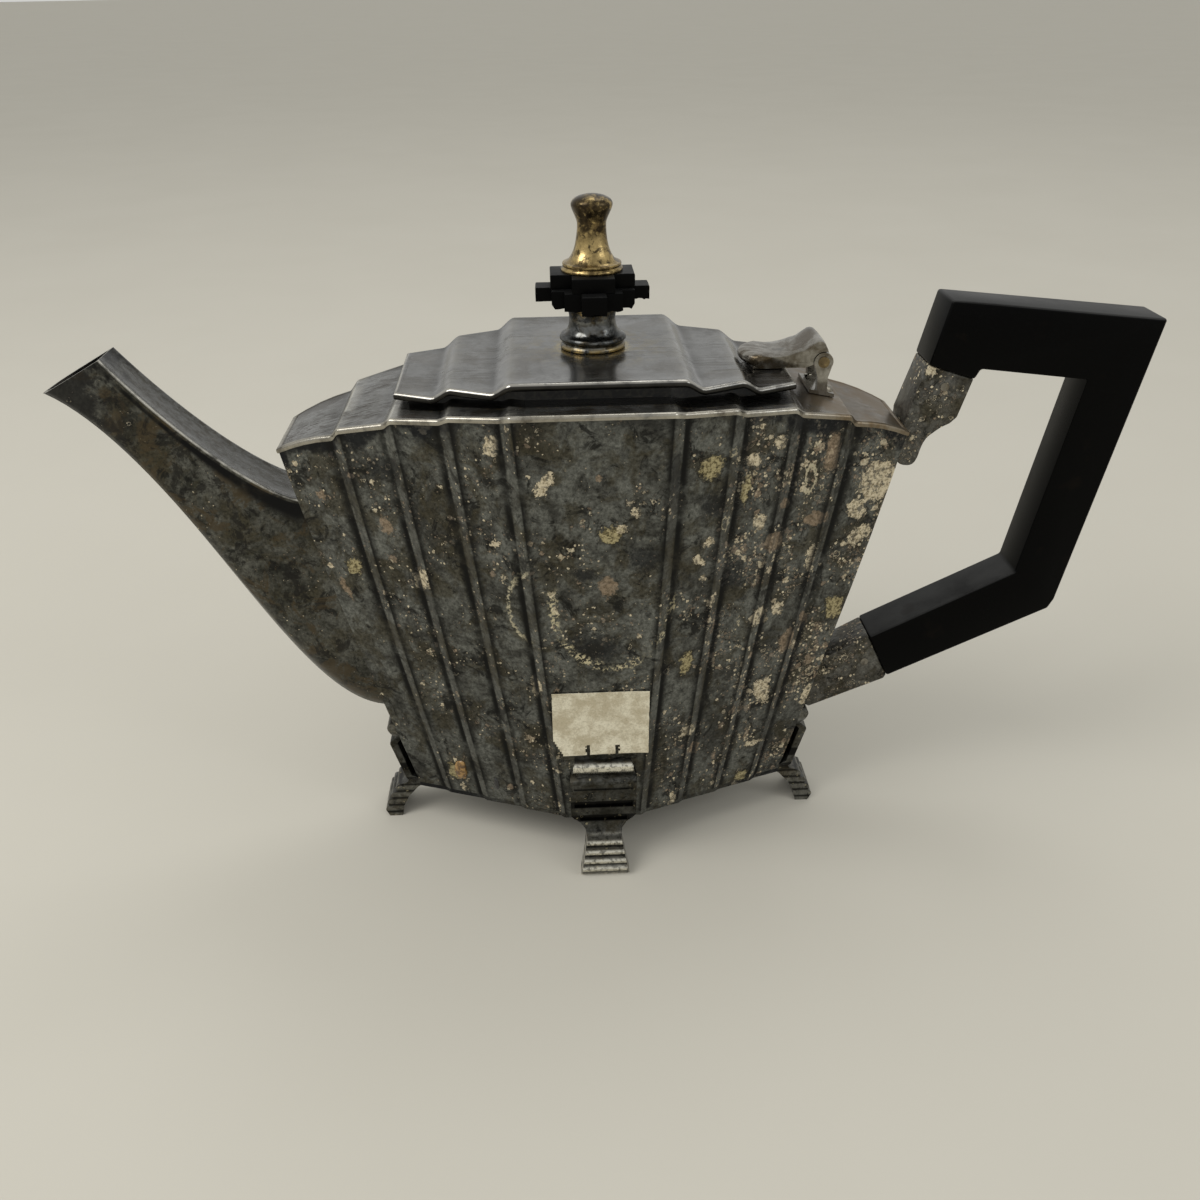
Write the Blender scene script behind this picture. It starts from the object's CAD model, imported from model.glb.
# %% [markdown]
# A plated teapot in the stepped style: a tall fan-shaped body, a hinged lid, a slanted
# spout and a square black handle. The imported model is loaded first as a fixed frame, so
# every piece that follows is made in its own true place, in metres, and needs no fitting.

# %% Load the frame
import math
import bpy
import bmesh
from mathutils import Matrix, Vector, noise


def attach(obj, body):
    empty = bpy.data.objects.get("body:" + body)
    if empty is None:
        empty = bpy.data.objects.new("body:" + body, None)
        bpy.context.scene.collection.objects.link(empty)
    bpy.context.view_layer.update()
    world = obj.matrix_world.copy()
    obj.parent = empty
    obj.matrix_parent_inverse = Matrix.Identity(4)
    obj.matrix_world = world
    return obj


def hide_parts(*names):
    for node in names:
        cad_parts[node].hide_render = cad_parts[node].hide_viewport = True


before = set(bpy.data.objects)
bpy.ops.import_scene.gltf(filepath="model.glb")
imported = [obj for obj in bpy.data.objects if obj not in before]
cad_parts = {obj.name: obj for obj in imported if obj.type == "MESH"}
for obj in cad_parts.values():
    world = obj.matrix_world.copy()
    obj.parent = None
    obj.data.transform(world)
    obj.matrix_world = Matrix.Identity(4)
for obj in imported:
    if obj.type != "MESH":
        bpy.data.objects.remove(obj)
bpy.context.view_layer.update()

# %% [markdown]
# The real pot was folded and soldered from thin sheet, so almost every visible edge is a
# rounded fold. Points are written here in millimetres, measured from the middle of the
# body, as a silversmith would mark them out. One helper turns them into a piece in metres.

# %% Sizes shared by the pieces
MM = 0.001
MIDDLE = 2.95                              # from the body's middle to the middle of the whole length
BODY_L, BODY_W, BASE_L, BASE_W = 164.0, 78.8, 104.0, 52.4
FOOT_H, BODY_H, BELLY = 12.0, 121.8, 0.02
CENTRE_W, CENTRE_W_BASE, PANEL_W, PANEL_W_BASE = 40.0, 22.6, 14.8, 10.8
FAN_SLOPE = math.tan(math.radians(20))
FLUTE_STEP, FLUTE_RUN, FLUTE_TAPER = 2.2, 3.2, 0.62
SHEET, BASE_T = 0.9, 1.2
LEDGE_Z = FOOT_H + BODY_H
WALL_Z = FOOT_H + BASE_T
HALF_L = BODY_L / 2
print("ledge at", LEDGE_Z, "mm")

# %% From points to a piece
def smooth_shade(mesh, sharp):
    mesh.shade_smooth()
    mesh.set_sharp_from_angle(angle=math.radians(sharp))

def make_piece(name, points, faces, masks=None, sharp=35):
    """A mesh object from points in millimetres. masks holds one value per point under a name."""
    mesh = bpy.data.meshes.new(name)
    mesh.from_pydata([((x - MIDDLE) * MM, y * MM, z * MM) for x, y, z in points], [], faces)
    for mask, values in (masks or {}).items():
        mesh.attributes.new(mask, "FLOAT", "POINT").data.foreach_set("value", values)
    work = bmesh.new()
    work.from_mesh(mesh)
    bmesh.ops.recalc_face_normals(work, faces=work.faces)
    work.to_mesh(mesh)
    work.free()
    smooth_shade(mesh, sharp)
    piece = bpy.data.objects.new(name, mesh)
    bpy.context.collection.objects.link(piece)
    return piece

def prism_faces(n):
    """The two ends and the sides of a prism: n points of one end, then n of the other."""
    return [tuple(range(n)), tuple(range(n, 2 * n))] + [
        (i, (i + 1) % n, n + (i + 1) % n, n + i) for i in range(n)]

def dress(piece, body, slot, material, *nodes):
    """Gives a piece its finish, the body that it moves with and the nodes that it stands for."""
    piece.data.materials.clear()
    piece.data.materials.append(material)
    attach(piece, body)
    if nodes:
        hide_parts(*nodes)
    print(piece.name, "-", len(piece.data.polygons), "faces, rides on", body)

def bake_modifiers(piece, sharp=35):
    """Turns a piece's modifiers into plain mesh."""
    graph = bpy.context.evaluated_depsgraph_get()
    made = bpy.data.meshes.new_from_object(piece.evaluated_get(graph))
    piece.modifiers.clear()
    piece.data = made
    smooth_shade(made, sharp)

def carve(piece, cutters, sharp=35):
    """Cuts the cutters out of a piece and throws them away."""
    for cutter in cutters:
        cut = piece.modifiers.new("cut", "BOOLEAN")
        cut.operation, cut.solver, cut.object = "DIFFERENCE", "EXACT", cutter
    bake_modifiers(piece, sharp)
    for cutter in cutters:
        bpy.data.objects.remove(cutter)

def wavy(x, y, z, size, seed=0.0):
    """A smooth value from about -1 to 1 that wanders over size millimetres."""
    return noise.noise(Vector((x / size + seed, y / size - seed, z / size + 2 * seed)))

# %% [markdown]
# The plan of the body is a fan: a flat centre panel, then panels that each step back a
# little through a soft S-curve, called an ogee. A height map or a bump could fake these
# flutes, but their shadows change with every view, so they are made as real geometry.
# Only one quarter is written. The rest is its mirror image.

# %% The fan plan
OGEE = [i / 8 for i in range(9)]

def ogee(a):
    return a * a * (3 - 2 * a)

def bell(a, at, width):
    return math.exp(-((a - at) / width) ** 2)

FLUTES = range(4)
CENTRE_AT = (0.0, 0.3, 0.6, 0.85)
PLATE_AT = (0.25, 0.5, 0.75)
END_AT = (0.25, 0.5, 0.75, 0.9, 1.0)

def fan_quarter(half_l, half_w, half_c, pitch, size):
    """One quarter of the plan as (x, y), from the middle of the centre panel to the end."""
    run, step = FLUTE_RUN * size, FLUTE_STEP * size
    flat = pitch - run
    per_panel = flat * FAN_SLOPE + step
    plan = [((half_c - run / 2) * u, half_w) for u in CENTRE_AT]
    for k in FLUTES:
        x, y = half_c + k * pitch - run / 2, half_w - k * per_panel
        plan += [(x + run * a, y - step * ogee(a)) for a in OGEE]
        if k < 3:
            plan += [(x + run + flat * u, y - step - flat * u * FAN_SLOPE) for u in PLATE_AT]
    x, y = half_c + 3 * pitch + run / 2, half_w - 3 * per_panel - step
    return plan + [(x + (half_l - x) * u, y - (half_l - x) * u * FAN_SLOPE) for u in END_AT]

TOP_PLAN = fan_quarter(HALF_L, BODY_W / 2, CENTRE_W / 2, PANEL_W, 1)
BASE_PLAN = fan_quarter(BASE_L / 2, BASE_W / 2, CENTRE_W_BASE / 2, PANEL_W_BASE, FLUTE_TAPER)

def per_station(flat_value, flute_value):
    """One value per station of the quarter: flute_value(k, a) in the flutes, and flat_value else."""
    values = [flat_value] * len(CENTRE_AT)
    for k in FLUTES:
        values += [flute_value(k, a) for a in OGEE]
        values += [flat_value] * (len(PLATE_AT) if k < 3 else len(END_AT))
    return values

CREST = per_station(0.0, lambda k, a: bell(a, 0.16, 0.2))
GROOVE = per_station(0.0, lambda k, a: bell(a, 0.84, 0.24))
WALL_CREST = per_station(0.0, lambda k, a: bell(a, 0.45, 0.18))
WALL_GROOVE = per_station(0.0, lambda k, a: max(bell(a, 0.97, 0.12), 0.8 * bell(a, 0.03, 0.1)))
print(len(TOP_PLAN), "stations in a quarter")

# %% Heights of the shoulder
RISER, RISER_GROWTH, END_FALL = 0.9, 0.53, 4.9
PLATE_FALLS = (0, 0.9, 0.9, 2.4)

def riser(k):
    return RISER + RISER_GROWTH * k

def fallen(k):
    return sum(PLATE_FALLS[:k + 1]) + sum(riser(j) for j in range(k))

def shoulder_levels():
    z = [LEDGE_Z] * len(CENTRE_AT)
    for k in FLUTES:
        z += [LEDGE_Z - fallen(k) - riser(k) * ogee(a) for a in OGEE]
        low = LEDGE_Z - fallen(k) - riser(k)
        z += [low - PLATE_FALLS[k + 1] * u for u in PLATE_AT] if k < 3 else [
            low - END_FALL * (u + u * u) / 2 for u in END_AT]
    return z

LEVELS = shoulder_levels()
END_TOP_Z = LEVELS[-1]

def share(z):
    return (z - FOOT_H) / BODY_H

def swell(s):
    return 1 + BELLY * 4 * s * (1 - s)

def end_x(z):
    return (BASE_L + (BODY_L - BASE_L) * share(z)) / 2 * swell(share(z))

def front_y(z):
    return (BASE_W + (BODY_W - BASE_W) * share(z)) / 2 * swell(share(z))

def inset(plan, d, slope):
    """The quarter plan moved inwards by d."""
    dy = d * math.hypot(1, slope)
    moved = [(x, y - dy) for x, y in plan]
    x, y = plan[-1]
    moved[-1] = (x - d, y + d * slope - dy)
    return moved

def body_plan(levels, d):
    top, base = inset(TOP_PLAN, d, FAN_SLOPE), inset(BASE_PLAN, d, FAN_SLOPE)
    plan = []
    for (tx, ty), (bx, by), z in zip(top, base, levels):
        s = share(z)
        plan.append(((bx + (tx - bx) * s) * swell(s), (by + (ty - by) * s) * swell(s)))
    return plan

print("shoulder falls from", LEDGE_Z, "to", round(END_TOP_Z, 2), "mm")

# %% [markdown]
# A ring is one closed loop round the pot. It holds the same stations on all four
# quarters, and a few points across each end face, so that a lid or a shoulder plate can
# be filled with strips that run straight from the front edge to the back edge.

# %% Rings and skins
ACROSS = 8

def ring(plan, levels):
    """A closed loop from a quarter plan, with one height per station."""
    last = len(plan) - 1
    side = [(x, -y, z) for (x, y), z in zip(plan, levels)]
    x, y, z = side[last]
    end = [(x, y + 2 * -y * i / ACROSS, z) for i in range(1, ACROSS)]
    right = side + end + [(px, -py, pz) for px, py, pz in reversed(side)]
    left = [(-px, -py, pz) for px, py, pz in right]
    return right + left[1:-1] if plan[0][0] == 0 else right + left

def around(values):
    """The same order as ring() for one value per station."""
    right = list(values) + [values[-1]] * (ACROSS - 1) + list(reversed(values))
    return right + right[1:-1]

def band_faces(n, a, b):
    return [(a * n + i, b * n + i, b * n + (i + 1) % n, a * n + (i + 1) % n) for i in range(n)]

def columns(stations):
    """For each strip from left to right, the ring indices of its front and back ends."""
    last = stations - 1
    half = 2 * stations + ACROSS - 1
    front = {c: c for c in range(stations)}
    back = {c: half - 1 - c for c in range(stations)}
    for c in range(1, stations):
        back[-c] = half - 1 + c
        front[-c] = 2 * half - 2 - c
    return [(c, front[c], back[c]) for c in range(-last, last + 1)]

def fill(points, faces, start, stations, lift=None):
    """Fills the ring that starts at index start with strips across the pot."""
    grid = []
    last = stations - 1
    for c, front, back in columns(stations):
        if c == last:
            line = [start + front + i for i in range(ACROSS + 1)]
        elif c == -last:
            line = [start + front - i for i in range(ACROSS + 1)]
        else:
            (x0, y0, z0), (x1, y1, z1) = points[start + front], points[start + back]
            line = [start + front]
            for i in range(1, ACROSS):
                t = i / ACROSS
                x, y = x0 + (x1 - x0) * t, y0 + (y1 - y0) * t
                points.append((x, y, z0 + (z1 - z0) * t + (lift(x, y) if lift else 0)))
                line.append(len(points) - 1)
            line.append(start + back)
        grid.append(line)
    for a, b in zip(grid, grid[1:]):
        faces += [(a[i], b[i], b[i + 1], a[i + 1]) for i in range(ACROSS)]

# %% [markdown]
# The body is thin sheet, so it is modelled as two skins, an outer and an inner one, that
# are closed at the top and the bottom. Sheet that was bent and soldered by hand is never
# quite flat: a slow noise of two tenths of a millimetre gives the reflections their wobble.
# The flutes also carry two masks, for the worn crest and the black groove of each ogee.

# %% Irregular handwork
FRONT_DRIFT = -1.9                         # the front flutes sit a little towards the spout

def handmade(point, strength=1.0):
    """Moves a point of the body as the hammer and the years have moved it."""
    x, y, z = point
    up = max(0.0, share(z))
    near = max(0.0, min(1.0, -y / 30))
    drift = FRONT_DRIFT * up * near * max(0.0, 1 - (x / 72) ** 2)
    wobble = 0.2 * strength * wavy(x, 0, z, 19, 3.1) + 0.08 * strength * wavy(x, 0, z, 7, 8.4)
    fade = min(1.0, max(0.0, (LEDGE_Z - 6 - z) / 10)) * min(1.0, max(0.0, (z - 16) / 8))
    side = 1 if y > 0 else -1
    return (x + drift, y - side * abs(wobble) * fade, z)

# %% Body wall
WALL_RINGS = 34

def wall_skin(d):
    rings = []
    for i in range(WALL_RINGS + 1):
        u = i / WALL_RINGS
        levels = [WALL_Z + (top - SHEET - WALL_Z) * u for top in LEVELS]
        rings.append([handmade(p) for p in ring(body_plan(levels, d), levels)])
    return rings

STRAINER_D, STRAINER_PITCH, STRAINER_Z = 3.0, 5.2, 65.9

def strainer_cutters():
    cutters = []
    for row in (-1, 0, 1):
        for k in range(-2, 3):
            z = STRAINER_Z + (k + abs(row) / 2) * STRAINER_PITCH
            bpy.ops.mesh.primitive_cylinder_add(
                vertices=24, radius=STRAINER_D / 2 * MM, depth=12 * MM, rotation=(0, math.pi / 2, 0),
                location=((-end_x(z) - MIDDLE) * MM, row * STRAINER_PITCH * 0.85 * MM, z * MM))
            cutters.append(bpy.context.object)
    return cutters

def build_wall():
    outer, inner = wall_skin(0), wall_skin(SHEET)
    rings = outer + inner[::-1]
    n = len(rings[0])
    points = [p for r in rings for p in r]
    faces = [f for k in range(len(rings)) for f in band_faces(n, k, (k + 1) % len(rings))]
    tops = around(LEVELS)
    masks = {
        "crest": around(WALL_CREST) * len(rings),
        "groove": around(WALL_GROOVE) * len(rings),
        "below": [tops[i % n] - points[i][2] for i in range(len(points))],
    }
    wall = make_piece("fan_wall", points, faces, masks)
    carve(wall, strainer_cutters())
    return wall

wall = build_wall()
print("wall:", len(wall.data.vertices), "points")

# %% [markdown]
# The shoulder is one plate, pressed in falling steps, with its edge folded down over the
# wall. The fold is the bright line that outlines every panel, so its profile is drawn
# from several points: up the outside, over a small bead and down onto the plate.

# %% Shoulder
FOLD = (  # drop below the plate's level, inset from the wall
    (0.9, -0.05), (1.3, -0.05), (1.38, -0.2), (1.32, -0.38), (1.0, -0.45), (0.6, -0.43),
    (0.28, -0.3), (0.08, -0.05), (0.0, 0.3), (0.02, 0.65), (0.12, 0.95), (0.16, 1.5))

THROAT_HALF_W, THROAT_HALF_L = 27.4, 45.5          # the opening under the lid
THROAT_CORNER_X, THROAT_END_Y = 17.0, 13.97        # where its slanted sides start and end

def throat_outline():
    right = [(THROAT_CORNER_X, -THROAT_HALF_W), (THROAT_HALF_L, -THROAT_END_Y),
             (THROAT_HALF_L, THROAT_END_Y), (THROAT_CORNER_X, THROAT_HALF_W)]
    return right + [(-x, -y) for x, y in right]

def prism(name, outline, low, high):
    """A plain upright prism, to cut with."""
    n = len(outline)
    points = [(x, y, low) for x, y in outline] + [(x, y, high) for x, y in outline]
    return make_piece(name, points, prism_faces(n))

def folded_plate(fold, plan_at, levels, masks, lift):
    """A plate from one quarter plan. fold lists (drop, inset), from its underside to its top."""
    rings = [ring(plan_at([z - drop for z in levels], d), [z - drop for z in levels]) for drop, d in fold]
    n, stations = len(rings[0]), len(levels)
    points = [p for r in rings for p in r]
    faces = [f for k in range(len(rings) - 1) for f in band_faces(n, k, k + 1)]
    edge = [d for drop, d in fold for _ in range(n)]
    fill(points, faces, 0, stations)
    fill(points, faces, (len(rings) - 1) * n, stations, lift)
    values = {"edge": edge + [9.0] * (len(points) - len(edge))}
    drops = [drop for drop, d in fold for _ in range(n)]
    values["drop"] = drops + [fold[0][0]] * (len(points) - len(edge))
    for mask, marks in masks.items():
        strip = [marks[abs(c)] for c in range(2 - stations, stations - 1) for _ in range(ACROSS - 1)]
        values[mask] = around(marks) * len(rings) + strip * 2
    return points, faces, values

def build_shoulder():
    points, faces, masks = folded_plate(
        FOLD, body_plan, LEVELS, {"crest": CREST, "groove": GROOVE},
        lambda x, y: 0.12 * wavy(x, y, 0, 9, 5.0))
    plate = make_piece("rolled_shoulder", [handmade(p, 0) for p in points], faces, masks, 40)
    carve(plate, [prism("throat_cut", throat_outline(), 90, 170)], 40)
    return plate

shoulder = build_shoulder()
print("shoulder:", len(shoulder.data.vertices), "points")

# %% [markdown]
# The lid repeats the fan in two steps. Its rim is a hem: the sheet is turned under into a
# small roll that rests just above the ledge. The same folded plate makes it, with a
# rounder edge profile.

# %% Lid
LID_HALF_L, LID_HALF_W, LID_STEP_X, LID_PITCH, LID_RUN = 48.5, 30.4, 22.5, 14.3, 5.0
LID_TOP_Z, LID_DROP = LEDGE_Z + 4.5, 2.7
LID_SLOPE = math.tan(math.radians(26))
LID_CENTRE_AT = (0.0, 0.25, 0.5, 0.75, 0.9)
LID_END_AT = (0.3, 0.6, 0.85, 1.0)
HEM = ((0.9, 1.0), (1.5, 0.98), (1.72, 0.8), (1.8, 0.5), (1.7, 0.2), (1.42, 0.03), (1.05, 0.0),
       (0.7, 0.04), (0.4, 0.18), (0.15, 0.4), (0.02, 0.75), (0.0, 1.1), (0.06, 1.5))

def lid_quarter():
    plan = [((LID_STEP_X - LID_RUN / 2) * u, LID_HALF_W) for u in LID_CENTRE_AT]
    levels = [LID_TOP_Z] * len(plan)
    crest, groove = [0.0] * len(plan), [0.0] * len(plan)
    flat = LID_PITCH - LID_RUN
    for k in (0, 1):
        x = LID_STEP_X + k * LID_PITCH - LID_RUN / 2
        y = LID_HALF_W - k * (flat * LID_SLOPE + FLUTE_STEP)
        plan += [(x + LID_RUN * a, y - FLUTE_STEP * ogee(a)) for a in OGEE]
        levels += [LID_TOP_Z - LID_DROP * (k + ogee(a)) for a in OGEE]
        crest += [bell(a, 0.12, 0.2) for a in OGEE]
        groove += [bell(a, 0.88, 0.2) for a in OGEE]
        width = flat if k == 0 else LID_HALF_L - x - LID_RUN
        shares = PLATE_AT if k == 0 else LID_END_AT
        plan += [(x + LID_RUN + width * u, y - FLUTE_STEP - width * u * LID_SLOPE) for u in shares]
        levels += [LID_TOP_Z - LID_DROP * (k + 1)] * len(shares)
        crest += [0.0] * len(shares)
        groove += [0.0] * len(shares)
    return plan, levels, crest, groove

LID_PLAN, LID_LEVELS, LID_CREST, LID_GROOVE = lid_quarter()

def lid_plan_at(_, d):
    """The lid's plan is the same at every height, so the levels that folded_plate gives are left."""
    return inset(LID_PLAN, d, LID_SLOPE)

def build_lid():
    points, faces, masks = folded_plate(
        HEM, lid_plan_at, LID_LEVELS, {"crest": LID_CREST, "groove": LID_GROOVE},
        lambda x, y: -abs(0.14 * wavy(x, y, 0, 11, 2.0)))
    plate = make_piece("hemmed_lid", points, faces, masks, 45)
    bpy.ops.mesh.primitive_cylinder_add(vertices=32, radius=1.7 * MM, depth=40 * MM,
                                        location=(-MIDDLE * MM, 0, LID_TOP_Z * MM))
    carve(plate, [bpy.context.object], 45)
    return plate

lid = build_lid()
print("lid:", len(lid.data.vertices), "points")

# %% [markdown]
# The spout is a cast tube: flat on top, rounded and narrower below, with a bead along both
# upper creases. It is lofted: one cross-section slides along two curves, one for the top
# line and one for the underside, and shrinks as it goes.

# %% Spout
SPOUT_T, SPOUT_SECTIONS = 1.1, 40
TIP = Vector((-HALF_L - 54.9, 130.0))
MOUTH_TOP = TIP + Vector((17.1, 9.4))
ROOT_TOP, ROOT_BASE = Vector((-end_x(102.5), 102.5)), Vector((-end_x(36), 36))
TOP_LINE = (ROOT_TOP, ROOT_TOP + Vector((-7.3, 0.2)), MOUTH_TOP + Vector((18.9, -23.8)), MOUTH_TOP)
UNDER_LINE = (ROOT_BASE, ROOT_BASE + Vector((-27, -0.5)), TIP + Vector((32, -16.9)), TIP)

def cubic(p, t):
    u = 1 - t
    return u ** 3 * p[0] + 3 * u * u * t * p[1] + 3 * u * t * t * p[2] + t ** 3 * p[3]

def spout_half(w, s, keel, span, bead):
    """Half a cross-section, from the middle of the flat top round to the keel, as (out, share)."""
    top = [(w * 0.3, 0.32 * bead), (w - 1.5, 0.3 * bead), (w - 1.05, 0.08 * bead), (w - 0.7, 0.0),
           (w - 0.3, 0.02), (w - 0.06, 0.25), (w, 0.6), (w - 0.1 * bead, 1.0), (w - 0.02, 1.6)]
    side = [(w + (s - w) * 0.5, 0.15), (s, 0.3), (s, 0.45), (s * 0.985, 0.58), (s * 0.95, 0.7),
            (s * 0.88, 0.8), (s * 0.76, 0.885), (keel * 1.15, 0.945), (keel * 0.75, 0.985),
            (keel * 0.3, 1.0)]
    return [(x, d / span) for x, d in top] + side

def spout_section(t, d):
    a, b = cubic(TOP_LINE, t), cubic(UNDER_LINE, t)
    down = (b - a).normalized()
    w = 8.5 * (1 - t) + 6.0 * t - d
    span = (b - a).length - 2 * d
    half = spout_half(w, w + 0.6 * (1 - t), w * (0.55 - 0.25 * t), span, 0.0 if d else 1.0)
    loop = half + [(-x, u) for x, u in reversed(half)]
    points = []
    for y, u in loop:
        at = a + down * (d + span * u)
        x = at.x if t > 0 else -end_x(at.y)
        points.append((x, y, at.y))
    return points

def build_spout():
    steps = [i / SPOUT_SECTIONS for i in range(SPOUT_SECTIONS + 1)]
    rings = [spout_section(t, 0) for t in steps] + [spout_section(t, SPOUT_T) for t in reversed(steps)]
    n = len(rings[0])
    points = [p for r in rings for p in r]
    faces = [f for k in range(len(rings)) for f in band_faces(n, k, (k + 1) % len(rings))]
    from_middle = [min(i % n, n - 1 - i % n) for i in range(len(points))]
    masks = {"crest": [1.0 if k in (4, 5) else 0.0 for k in from_middle],
             "groove": [bell(k, 8, 0.7) for k in from_middle],
             "top": [1.0 if k < 5 else 0.0 for k in from_middle]}
    return make_piece("cast_spout", points, faces, masks, 50)

spout = build_spout()
print("spout:", len(spout.data.vertices), "points")

# %% [markdown]
# The handle is one loop of black moulded resin, sawn off square where it enters its metal
# sockets. A cube with a hole would miss its leaning sides, so the outline is drawn corner
# by corner and thickened, and a small bevel then softens every edge as years of grip do.

# %% From a side outline to a bevelled piece
def thick_outline(name, outline, width, bevel, segments=3, sharp=40):
    """An outline in X and Z, thickened along Y, with its edges rounded."""
    n = len(outline)
    points = [(x, side * width / 2, z) for side in (-1, 1) for x, z in outline]
    piece = make_piece(name, points, prism_faces(n))
    soften = piece.modifiers.new("bevel", "BEVEL")
    soften.width, soften.segments, soften.limit_method = bevel * MM, segments, "ANGLE"
    soften.angle_limit = math.radians(25)
    bake_modifiers(piece, sharp)
    return piece

def moved(at, steps):
    return [(at[0] + dx, at[1] + dz) for dx, dz in steps]

# %% Handle
HANDLE_T = 13.0
LOOP_TOP_IN = (HALF_L + 6, 149.2)
LOOP_TOP_OUT = (HALF_L + 60.8, 143.3)
GRIP_RUN = (LOOP_TOP_OUT[1] - 62.4) * 0.2
LOOP_LOW_OUT = (LOOP_TOP_OUT[0] - GRIP_RUN, 62.6)
LOOP_LOW_IN = (end_x(42.4) + 21.9, 42.4)
UPPER_JOINT_IN = (LOOP_TOP_IN[0] - 4, 132.9)
UPPER_JOINT_OUT = (LOOP_TOP_IN[0] + 8, 129.0)
LOWER_JOINT_IN = (LOOP_LOW_IN[0] - 6.3, LOOP_LOW_IN[1] + 12.9)
WINDOW_TOP_IN = (UPPER_JOINT_OUT[0] + 1.4, 131.6)
WINDOW_TOP_OUT = (LOOP_TOP_OUT[0] - 17.5, 128.1)
WINDOW_LOW_OUT = (WINDOW_TOP_OUT[0] - 10.7, LOOP_LOW_OUT[1] + 11.6)

handle = thick_outline("loop_handle", [
    LOOP_TOP_IN, LOOP_TOP_OUT, (LOOP_LOW_OUT[0] + 0.4, LOOP_LOW_OUT[1] + 2.8),
    (LOOP_LOW_OUT[0] - 1, LOOP_LOW_OUT[1]), LOOP_LOW_IN, LOWER_JOINT_IN, WINDOW_LOW_OUT,
    WINDOW_TOP_OUT, WINDOW_TOP_IN, UPPER_JOINT_OUT, UPPER_JOINT_IN], HANDLE_T, 0.7)
print("handle:", len(handle.data.polygons), "faces")

# %% [markdown]
# Each end of the handle sits in a cast socket that is soldered to the end of the body. The
# upper one narrows in a scallop to a rounded tail. They are cut from the same kind of
# outline, a little narrower than the handle, with a finer bevel.

# %% Sockets
SOCKET_W = HANDLE_T - 1.4
FOLD_LOW_Z = END_TOP_Z - 1.3
TAIL_Z = FOLD_LOW_Z - 10.5
SCALLOP = ((13, 10.2), (11.9, 9.4), (11.0, 8.7), (10.2, 8.1), (9.4, 7.2), (8.8, 6.1), (8.4, 5.0),
           (8.1, 3.9), (7.9, 2.9), (7.6, 1.9), (7.1, 0.9), (6.5, 0.25), (5.7, 0), (4.9, 0), (4.1, 0.1),
           (3.2, 0.4), (2.4, 1.2))
ROLL_Z, ROLL_R, ROLL_OUT = 31.2, 2.1, 2.8
ROLL_TOP_Z = ROLL_Z + ROLL_R
SOCKET_TOP_Z = LOWER_JOINT_IN[1] - 7.8

upper_socket = thick_outline("upper_socket_casting", [
    UPPER_JOINT_IN, UPPER_JOINT_OUT, (UPPER_JOINT_OUT[0] - 3, 118.9), (UPPER_JOINT_OUT[0] - 4.7, 117.3),
    *moved((end_x(TAIL_Z), TAIL_Z), SCALLOP), (end_x(TAIL_Z + 2), TAIL_Z + 2),
    (end_x(FOLD_LOW_Z), FOLD_LOW_Z - 0.3), (end_x(END_TOP_Z) + 0.75, FOLD_LOW_Z - 0.3),
    (end_x(END_TOP_Z) + 0.75, END_TOP_Z + 1)], SOCKET_W, 0.4)
lower_socket = thick_outline("lower_socket_casting", [
    LOWER_JOINT_IN, LOOP_LOW_IN, (LOOP_LOW_IN[0] - 0.6, LOOP_LOW_IN[1] - 1.2),
    (end_x(ROLL_Z) + ROLL_OUT + 0.5, ROLL_Z + 1.4), (end_x(ROLL_Z) + ROLL_OUT - 1, ROLL_TOP_Z + 0.3),
    (end_x(ROLL_TOP_Z), ROLL_TOP_Z + 0.3), (end_x(40), 40), (end_x(SOCKET_TOP_Z), SOCKET_TOP_Z)],
    SOCKET_W, 0.4)
print("sockets:", SOCKET_W, "mm wide")

# %% [markdown]
# The knob is a stack on one threaded stud: a turned foot, two stepped plates of black
# resin and a turned brass finial. Turned pieces come from a profile that is spun round
# the axis, as on a lathe. Very slight wobbles keep them from looking machine-perfect.

# %% Turned pieces
def turned(name, profile, base_z, segments=72, wobble=0.0, sharp=50, lean=0.0):
    """Spins a profile of (radius, height) about the knob's axis. The profile is a closed loop."""
    points, n = [], len(profile)
    for i in range(segments):
        a = 2 * math.pi * i / segments
        for r, h in profile:
            r += wobble * wavy(math.cos(a) * 9, math.sin(a) * 9, h * 2, 8, 4.4) * min(1, r / 2)
            points.append((r * math.cos(a) + lean * h, r * math.sin(a), base_z + h))
    faces = [(i * n + k, ((i + 1) % segments) * n + k, ((i + 1) % segments) * n + (k + 1) % n,
              i * n + (k + 1) % n)
             for i in range(segments) for k in range(n)]
    return make_piece(name, points, faces, {"height": [p[2] - base_z for p in points]}, sharp)

def cove(r0, z0, r1, z1, steps):
    """Points on a hollow quarter curve between two radii."""
    return [(r0 + (r1 - r0) * math.sin(a), z0 + (z1 - z0) * (1 - math.cos(a)))
            for a in (math.pi / 2 * i / steps for i in range(steps + 1))]

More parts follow.
